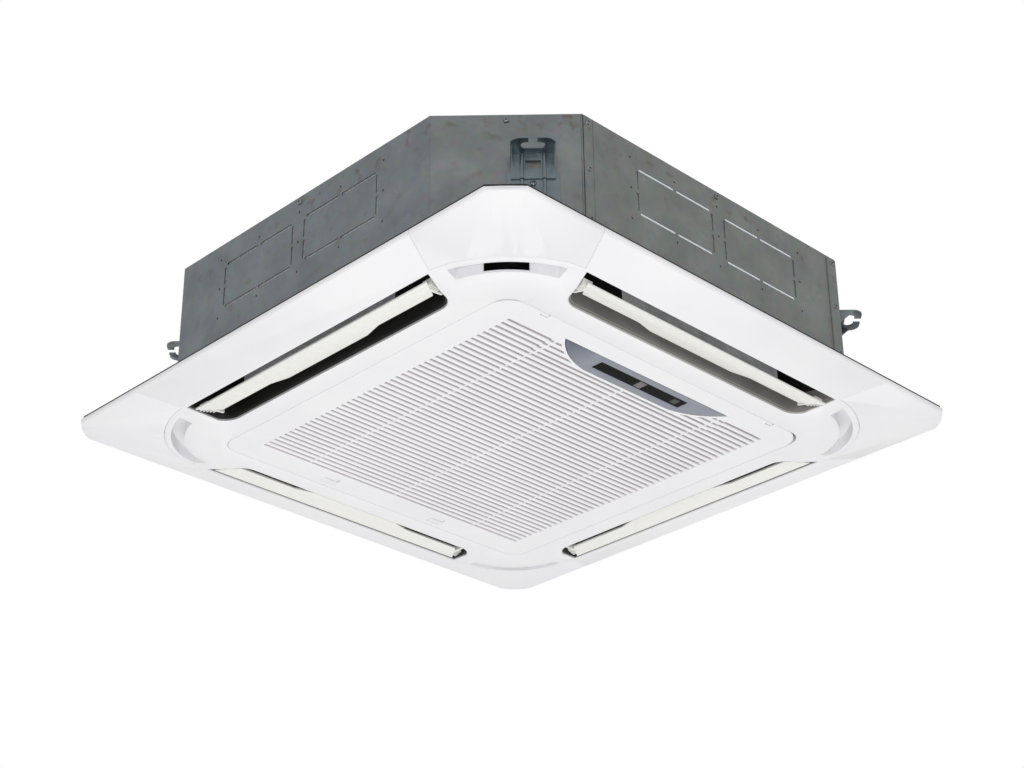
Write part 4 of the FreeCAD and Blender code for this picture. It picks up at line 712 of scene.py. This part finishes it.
# %% A tree with named sizes
def new_tree(title, sizes):
    """A Geometry Nodes tree with one named number input for each size."""
    tree = bpy.data.node_groups.new(title, "GeometryNodeTree")
    tree.interface.new_socket("Geometry", in_out="INPUT", socket_type="NodeSocketGeometry")
    for name in sizes:
        tree.interface.new_socket(name, in_out="INPUT", socket_type="NodeSocketFloat")
    tree.interface.new_socket("Finish", in_out="INPUT", socket_type="NodeSocketMaterial")
    tree.interface.new_socket("Geometry", in_out="OUTPUT", socket_type="NodeSocketGeometry")
    return tree, add(tree, "NodeGroupInput").outputs


def end_tree(tree, geometry, given):
    """Makes the copies real and gives them their finish."""
    real = add(tree, "GeometryNodeRealizeInstances", None, {"Geometry": geometry})
    done = add(tree, "GeometryNodeSetMaterial", None,
               {"Geometry": real.outputs[0], "Material": given["Finish"]})
    add(tree, "NodeGroupOutput", None, {"Geometry": done.outputs[0]})


def grow(title, tree, points, values, material):
    """Runs a tree on a mesh of points and keeps the result as a plain piece."""
    piece = bpy.data.objects.new(title, points)
    scene.collection.objects.link(piece)
    rule = piece.modifiers.new("rule", "NODES")
    rule.node_group = tree
    for item in tree.interface.items_tree:
        if item.in_out == "INPUT" and item.name in values:
            rule[item.identifier] = values[item.name]
        if item.in_out == "INPUT" and item.name == "Finish":
            rule[item.identifier] = material
    mesh = plain_mesh(piece, title)
    piece.modifiers.remove(rule)
    piece.data = mesh
    print(title, len(mesh.polygons), "faces")
    return piece


# %% [markdown]
# The slats of the intake have round noses, which makes the gaps look wide and
# soft at the face. A round-sided groove is drawn once, repeated at the slat
# pitch by a Geometry Nodes line, and taken away from the merged grille. The
# first rows stop at the display. The outline of the grille is rounded too, which
# leaves it room to swing past the panel.

# %% Round slat noses
SLAT_PITCH_MM = 11.87
SLAT_ROWS = 45
GAP_MM = 4.7
NOSE_MM = 2.7
GAP_REACH_MM = 264.5
DISPLAY_REACH_MM = 182.0
DISPLAY_ROWS = 4
NOSE_STEPS = 4
GROOVE_OVER_MM = 0.4


def groove(reach_low, reach_high):
    """A mesh of one groove along X between two places, rounded to the slats beside it."""
    half = GAP_MM / 2
    side = [(half + NOSE_MM, -GROOVE_OVER_MM)]
    for k in range(NOSE_STEPS + 1):
        turn = math.pi / 2 * k / NOSE_STEPS
        side.append((half + NOSE_MM * (1 - math.sin(turn)), NOSE_MM * (1 - math.cos(turn))))
    outline = side + [(-y, z) for y, z in reversed(side)]
    shell = bmesh.new()
    ends = [[shell.verts.new((x * MM, y * MM, (FACE_Z_MM + z) * MM)) for y, z in outline]
            for x in (reach_low, reach_high)]
    for i in range(len(outline)):
        j = (i + 1) % len(outline)
        shell.faces.new((ends[0][i], ends[0][j], ends[1][j], ends[1][i]))
    shell.faces.new(ends[0])
    shell.faces.new(ends[1])
    bmesh.ops.recalc_face_normals(shell, faces=shell.faces)
    mesh = bpy.data.meshes.new("groove")
    shell.to_mesh(mesh)
    shell.free()
    return mesh


def groove_tree(first, rows):
    """Repeats the given groove at the slat pitch, from one row onwards."""
    tree, given = new_tree("slat_grooves", ("Pitch",))
    step = add(tree, "ShaderNodeCombineXYZ", None, {"Y": given["Pitch"]})
    start = (0.0, (first - (SLAT_ROWS - 1) / 2) * SLAT_PITCH_MM * MM, 0.0)
    line = add(tree, "GeometryNodeMeshLine", None,
               {"Count": rows, "Start Location": start, "Offset": step.outputs[0]})
    placed = add(tree, "GeometryNodeInstanceOnPoints", None,
                 {"Points": line.outputs["Mesh"], "Instance": given["Geometry"]})
    end_tree(tree, placed.outputs[0], given)
    return tree


# Each set has its first row, its number of rows, and its ends along X.
GROOVE_SETS = {
    "groove_rows": (DISPLAY_ROWS, SLAT_ROWS - DISPLAY_ROWS, -GAP_REACH_MM, GAP_REACH_MM),
    "groove_left": (0, DISPLAY_ROWS, -GAP_REACH_MM, -DISPLAY_REACH_MM),
    "groove_right": (0, DISPLAY_ROWS, DISPLAY_REACH_MM, GAP_REACH_MM),
}
shell = bmesh.new()
for title, (first, rows, low, high) in GROOVE_SETS.items():
    cutter = grow(title, groove_tree(first, rows), groove(low, high),
                  {"Pitch": SLAT_PITCH_MM * MM}, panel_white)
    shell.from_mesh(cutter.data)
    bpy.data.objects.remove(cutter)
mesh = bpy.data.meshes.new("grooves")
shell.to_mesh(mesh)
shell.free()
grooves = bpy.data.objects.new("grooves", mesh)
scene.collection.objects.link(grooves)
rounded("grille", GRILLE_EDGE_MM, panel_white, grooves)
bpy.data.objects.remove(grooves)

# %% [markdown]
# The casing is held by pan-head screws with a cross recess. They are all alike,
# so one head is modelled by rule, a flat dome with two bars cut out of it, and a
# Geometry Nodes tree sets it on a point for each screw. The points and the way
# each head faces are read from the plain screws of the CAD node.

# %% Where the screws are
HEAD_WIDE_SHARE = 0.9
TOP_POINTS = 6


def islands(mesh):
    """The loose parts of a mesh as arrays of points."""
    shell = bmesh.new()
    shell.from_mesh(mesh)
    bmesh.ops.remove_doubles(shell, verts=shell.verts, dist=MERGE_MM * MM)
    left = set(shell.verts)
    found = []
    while left:
        group = set()
        edge = [left.pop()]
        while edge:
            vert = edge.pop()
            group.add(vert)
            near = [e.other_vert(vert) for e in vert.link_edges]
            fresh = [v for v in near if v in left]
            left.difference_update(fresh)
            edge += fresh
        found.append(np.array([v.co[:] for v in group]))
    shell.free()
    return found


def head_of(points):
    """The middle of a screw head's underside and the way the head faces."""
    middle = points.mean(0)
    spread = np.linalg.svd(points - middle)[2]
    best = None
    for axis in spread:
        height = (points - middle) @ axis
        wide = np.linalg.norm(points - middle - np.outer(height, axis), axis=1)
        for way in (1, -1):
            top = wide[way * height > 0].max()
            low = wide[way * height < 0].max()
            even = abs(wide[np.argsort(-way * height)[:TOP_POINTS]].std())
            score = top - low - even
            if best is None or score > best[0]:
                best = (score, way * axis, way * height, wide)
    axis, height, wide = best[1:]
    under = height[wide > HEAD_WIDE_SHARE * wide.max()].min()
    return middle + axis * under, axis


heads = [head_of(points) for points in islands(nodes["sheet_screws"].data)]
print(len(heads), "screws; the first faces", np.round(heads[0][1], 2))

# %% [markdown]
# The head is the upper half of a flattened ball. A block takes the lower half
# away, and two crossed bars cut the recess.

# %% The screw tree
SCREW_HEAD_MM = 8.6
SCREW_HEAD_RISE_MM = 3.2
CROSS_ACROSS_MM = 4.6
CROSS_WIDE_MM = 1.1
CROSS_DEEP_SHARE = 1.2
BLOCK_WIDE_SHARE = 3.0
BALL_SEGMENTS = 20
BALL_RINGS = 12
tree, given = new_tree("pan_head_screw", ("Radius", "Rise", "Across", "Bar"))
flatten = add(tree, "ShaderNodeMath", {"operation": "DIVIDE"},
              {0: given["Rise"], 1: given["Radius"]})
shape = add(tree, "ShaderNodeCombineXYZ", None, {"X": 1.0, "Y": 1.0, "Z": flatten.outputs[0]})
ball = add(tree, "GeometryNodeMeshUVSphere", None,
           {"Segments": BALL_SEGMENTS, "Rings": BALL_RINGS, "Radius": given["Radius"]})
dome = add(tree, "GeometryNodeTransform", None,
           {"Geometry": ball.outputs["Mesh"], "Scale": shape.outputs[0]})
deep = times(tree, given["Rise"], CROSS_DEEP_SHARE)
cuts = []
for turned in (False, True):
    size = add(tree, "ShaderNodeCombineXYZ", None, {
        "X": given["Bar"] if turned else given["Across"],
        "Y": given["Across"] if turned else given["Bar"], "Z": deep})
    bar = add(tree, "GeometryNodeMeshCube", None, {"Size": size.outputs[0]})
    lift = add(tree, "ShaderNodeCombineXYZ", None, {"Z": given["Rise"]})
    cuts.append(add(tree, "GeometryNodeTransform", None,
                    {"Geometry": bar.outputs["Mesh"], "Translation": lift.outputs[0]}))
drop = add(tree, "ShaderNodeCombineXYZ", None, {"Z": times(tree, given["Rise"], -1.0)})
wide = times(tree, given["Radius"], BLOCK_WIDE_SHARE)
twice = times(tree, given["Rise"], 2.0)
block = add(tree, "ShaderNodeCombineXYZ", None, {"X": wide, "Y": wide, "Z": twice})
seat = add(tree, "GeometryNodeMeshCube", None, {"Size": block.outputs[0]})
seat = add(tree, "GeometryNodeTransform", None,
           {"Geometry": seat.outputs["Mesh"], "Translation": drop.outputs[0]})
head = add(tree, "GeometryNodeMeshBoolean", {"operation": "DIFFERENCE"},
           {"Mesh 1": dome.outputs[0]})
for cut in cuts + [seat]:
    tree.links.new(cut.outputs[0], head.inputs["Mesh 2"])
facing = add(tree, "GeometryNodeInputNamedAttribute", {"data_type": "FLOAT_VECTOR"},
             {"Name": "facing"})
aim = add(tree, "FunctionNodeAlignRotationToVector", {"axis": "Z"},
          {"Vector": facing.outputs["Attribute"]})
set_on = add(tree, "GeometryNodeInstanceOnPoints", None, {
    "Points": given["Geometry"], "Instance": head.outputs["Mesh"],
    "Rotation": aim.outputs[0]})
end_tree(tree, set_on.outputs[0], given)

points = bpy.data.meshes.new("screw_points")
points.from_pydata([tuple(at) for at, axis in heads], [], [])
facing = points.attributes.new("facing", "FLOAT_VECTOR", "POINT")
facing.data.foreach_set("vector", [float(v) for at, axis in heads for v in axis])
screws = grow("pan_head_screws", tree, points, {
    "Radius": SCREW_HEAD_MM * MM / 2, "Rise": SCREW_HEAD_RISE_MM * MM,
    "Across": CROSS_ACROSS_MM * MM, "Bar": CROSS_WIDE_MM * MM}, zinc_plate)
keep_piece(screws, "sheet_screws")
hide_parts("sheet_screws")

# %% [markdown]
# The knock-outs of the front wall are half sheared. Along their level cuts the
# sheet is pushed in, and a thin lip in each slit is a bluish near-white, a painted
# highlight for the bright line of the bare edge. Each lip is a thin bar on a
# point, as long as its slit, so a small tree places them.

# %% Sheared lips of the knock-outs
WALL_MM = 420.0
KNOCK_GAP_MM = 22.0
KNOCK_WIDE_MM = 160.0
KNOCK_LOW_MM = -46.0
KNOCK_TALL_MM = 75.0
SLIT_MM = 4.0
BRIDGE_MM = 6.0
LIP_IN_MM = 0.25
LIP_THICK_MM = 0.4
LIP_END_MM = 1.0
LIP_ROOM_MM = 0.3
LIP_LEAN_DEG = -14
# A bluish near-white finish: a painted highlight on the lips.
lip_highlight, tree, shader = finish("sheared_edge_highlight", "#eef5fc", 0.35)
mottle(tree, shader, ("#e2ecf6", "#fbfdff"), 12, (0.28, 0.42), 1.0, 0.02)
lips = []
half = (KNOCK_WIDE_MM - 3 * BRIDGE_MM) / 2
for start in (-KNOCK_GAP_MM / 2 - KNOCK_WIDE_MM, KNOCK_GAP_MM / 2):
    for level in (KNOCK_LOW_MM + SLIT_MM / 2, KNOCK_LOW_MM + KNOCK_TALL_MM - SLIT_MM / 2):
        for k in (0, 1):
            middle = start + BRIDGE_MM + half / 2 + k * (half + BRIDGE_MM)
            lips.append((middle * MM, (LIP_IN_MM - WALL_MM) * MM, level * MM))
tree, given = new_tree("sheared_lip", ("Length", "Height", "Depth"))
size = add(tree, "ShaderNodeCombineXYZ", None,
           {"X": given["Length"], "Y": given["Depth"], "Z": given["Height"]})
bar = add(tree, "GeometryNodeMeshCube", None, {"Size": size.outputs[0]})
lean = add(tree, "FunctionNodeEulerToRotation", None, {"Euler": (math.radians(LIP_LEAN_DEG), 0.0, 0.0)})
placed = add(tree, "GeometryNodeInstanceOnPoints", None, {
    "Points": given["Geometry"], "Instance": bar.outputs["Mesh"], "Rotation": lean.outputs[0]})
end_tree(tree, placed.outputs[0], given)
points = bpy.data.meshes.new("lip_points")
points.from_pydata(lips, [], [])
lip_piece = grow("sheared_lips", tree, points, {
    "Length": (half - LIP_END_MM) * MM, "Height": (SLIT_MM - LIP_ROOM_MM) * MM,
    "Depth": LIP_THICK_MM * MM}, lip_highlight)
keep_piece(lip_piece, "casing_front_wall")

# %% [markdown]
# The chamfer sheets lap over the ends of the front and back walls, and the
# screws go through the lap. Each lap is a narrow strip with a pressed bead along
# its free edge, drawn as a profile and pulled up the height of the wall.

# %% Lapped strips with their beads
LAP_MM = 21.0
LAP_THICK_MM = 0.9
BEAD_MM = 1.6
BEAD_STEPS = 6
BEAD_RISE_SHARE = 0.6
EDGE_PAST_MM = 0.6
EDGE_THICK_SHARE = 0.6
LAP_SHORT_MM = 3
wall_low, wall_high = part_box("casing_front_wall")
profile = [(0.0, 0.0), (0.0, LAP_THICK_MM), (LAP_MM - 2 * BEAD_MM, LAP_THICK_MM)]
for k in range(BEAD_STEPS + 1):
    turn = math.pi * k / BEAD_STEPS
    profile.append((LAP_MM - BEAD_MM - BEAD_MM * math.cos(turn),
                    LAP_THICK_MM + BEAD_RISE_SHARE * BEAD_MM * math.sin(turn)))
profile += [(LAP_MM + EDGE_PAST_MM, LAP_THICK_MM * EDGE_THICK_SHARE), (LAP_MM + EDGE_PAST_MM, 0.0)]
shell = bmesh.new()
for way in (-1, 1):
    for side in (-1, 1):
        rings = []
        for z in (wall_low.z, wall_high.z - LAP_SHORT_MM * MM):
            ring = []
            for along, out in profile:
                x = side * (wall_high.x - along * MM)
                ring.append(shell.verts.new((x, way * (WALL_MM + out) * MM, z)))
            rings.append(ring)
        count = len(profile)
        for i in range(count):
            j = (i + 1) % count
            shell.faces.new((rings[0][i], rings[0][j], rings[1][j], rings[1][i]))
        shell.faces.new(rings[0])
        shell.faces.new(rings[1])
bmesh.ops.recalc_face_normals(shell, faces=shell.faces)
mesh = bpy.data.meshes.new("lapped_strips")
shell.to_mesh(mesh)
shell.free()
mesh.materials.append(galvanised)
laps = bpy.data.objects.new("lapped_strips", mesh)
scene.collection.objects.link(laps)
keep_piece(laps, "casing_front_wall")
print("laps", len(mesh.polygons), "faces, wall half", round(wall_high.x / MM, 1))

# %% [markdown]
# A washable net is stretched behind the intake slats. It is a weave of plastic
# threads, too fine to draw at its real millimetre, so it is drawn at 4 mm. Two
# lines of points carry the threads, one set for each direction.

# %% The filter net
NET_PITCH_MM = 4.0
THREAD_MM = 0.5
NET_MARGIN = 2
low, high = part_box("intake_filter")
tree, given = new_tree("woven_net", ("Pitch", "Thread"))
runs = []
for first, second in ((0, 1), (1, 0)):
    count = int((high[first] - low[first]) / (NET_PITCH_MM * MM)) - 2 * NET_MARGIN + 1
    step = [given["Pitch"] if k == first else 0.0 for k in range(3)]
    step = add(tree, "ShaderNodeCombineXYZ", None, dict(zip("XYZ", step)))
    start = [0.0, 0.0, low[2]]
    start[first] = low[first] + NET_MARGIN * NET_PITCH_MM * MM
    start[second] = (low[second] + high[second]) / 2
    line = add(tree, "GeometryNodeMeshLine", None,
               {"Count": count, "Start Location": start, "Offset": step.outputs[0]})
    size = [given["Thread"]] * 3
    size[second] = high[second] - low[second] - 2 * NET_MARGIN * NET_PITCH_MM * MM
    size = add(tree, "ShaderNodeCombineXYZ", None, dict(zip("XYZ", size)))
    thread = add(tree, "GeometryNodeMeshCube", None, {"Size": size.outputs[0]})
    runs.append(add(tree, "GeometryNodeInstanceOnPoints", None,
                    {"Points": line.outputs["Mesh"], "Instance": thread.outputs["Mesh"]}))
both = add(tree, "GeometryNodeJoinGeometry")
for run in runs:
    tree.links.new(run.outputs[0], both.inputs[0])
end_tree(tree, both.outputs[0], given)
net = grow("filter_net", tree, bpy.data.meshes.new("net_seed"),
           {"Pitch": NET_PITCH_MM * MM, "Thread": THREAD_MM * MM}, net_grey)
keep_piece(net, "intake_filter")

# %% [markdown]
# The floor far below is matt paint, pale enough to throw light back up.

# %% Floor finish
floor_paint, tree, shader = finish("matt_floor_paint", "#efeeec", 0.85)
mottle(tree, shader, ("#edecea", "#f1f0ee"), 400, (0.8, 0.9), 3.0, 0.02)
floor.data.materials.append(floor_paint)
print("finish", floor_paint.name)
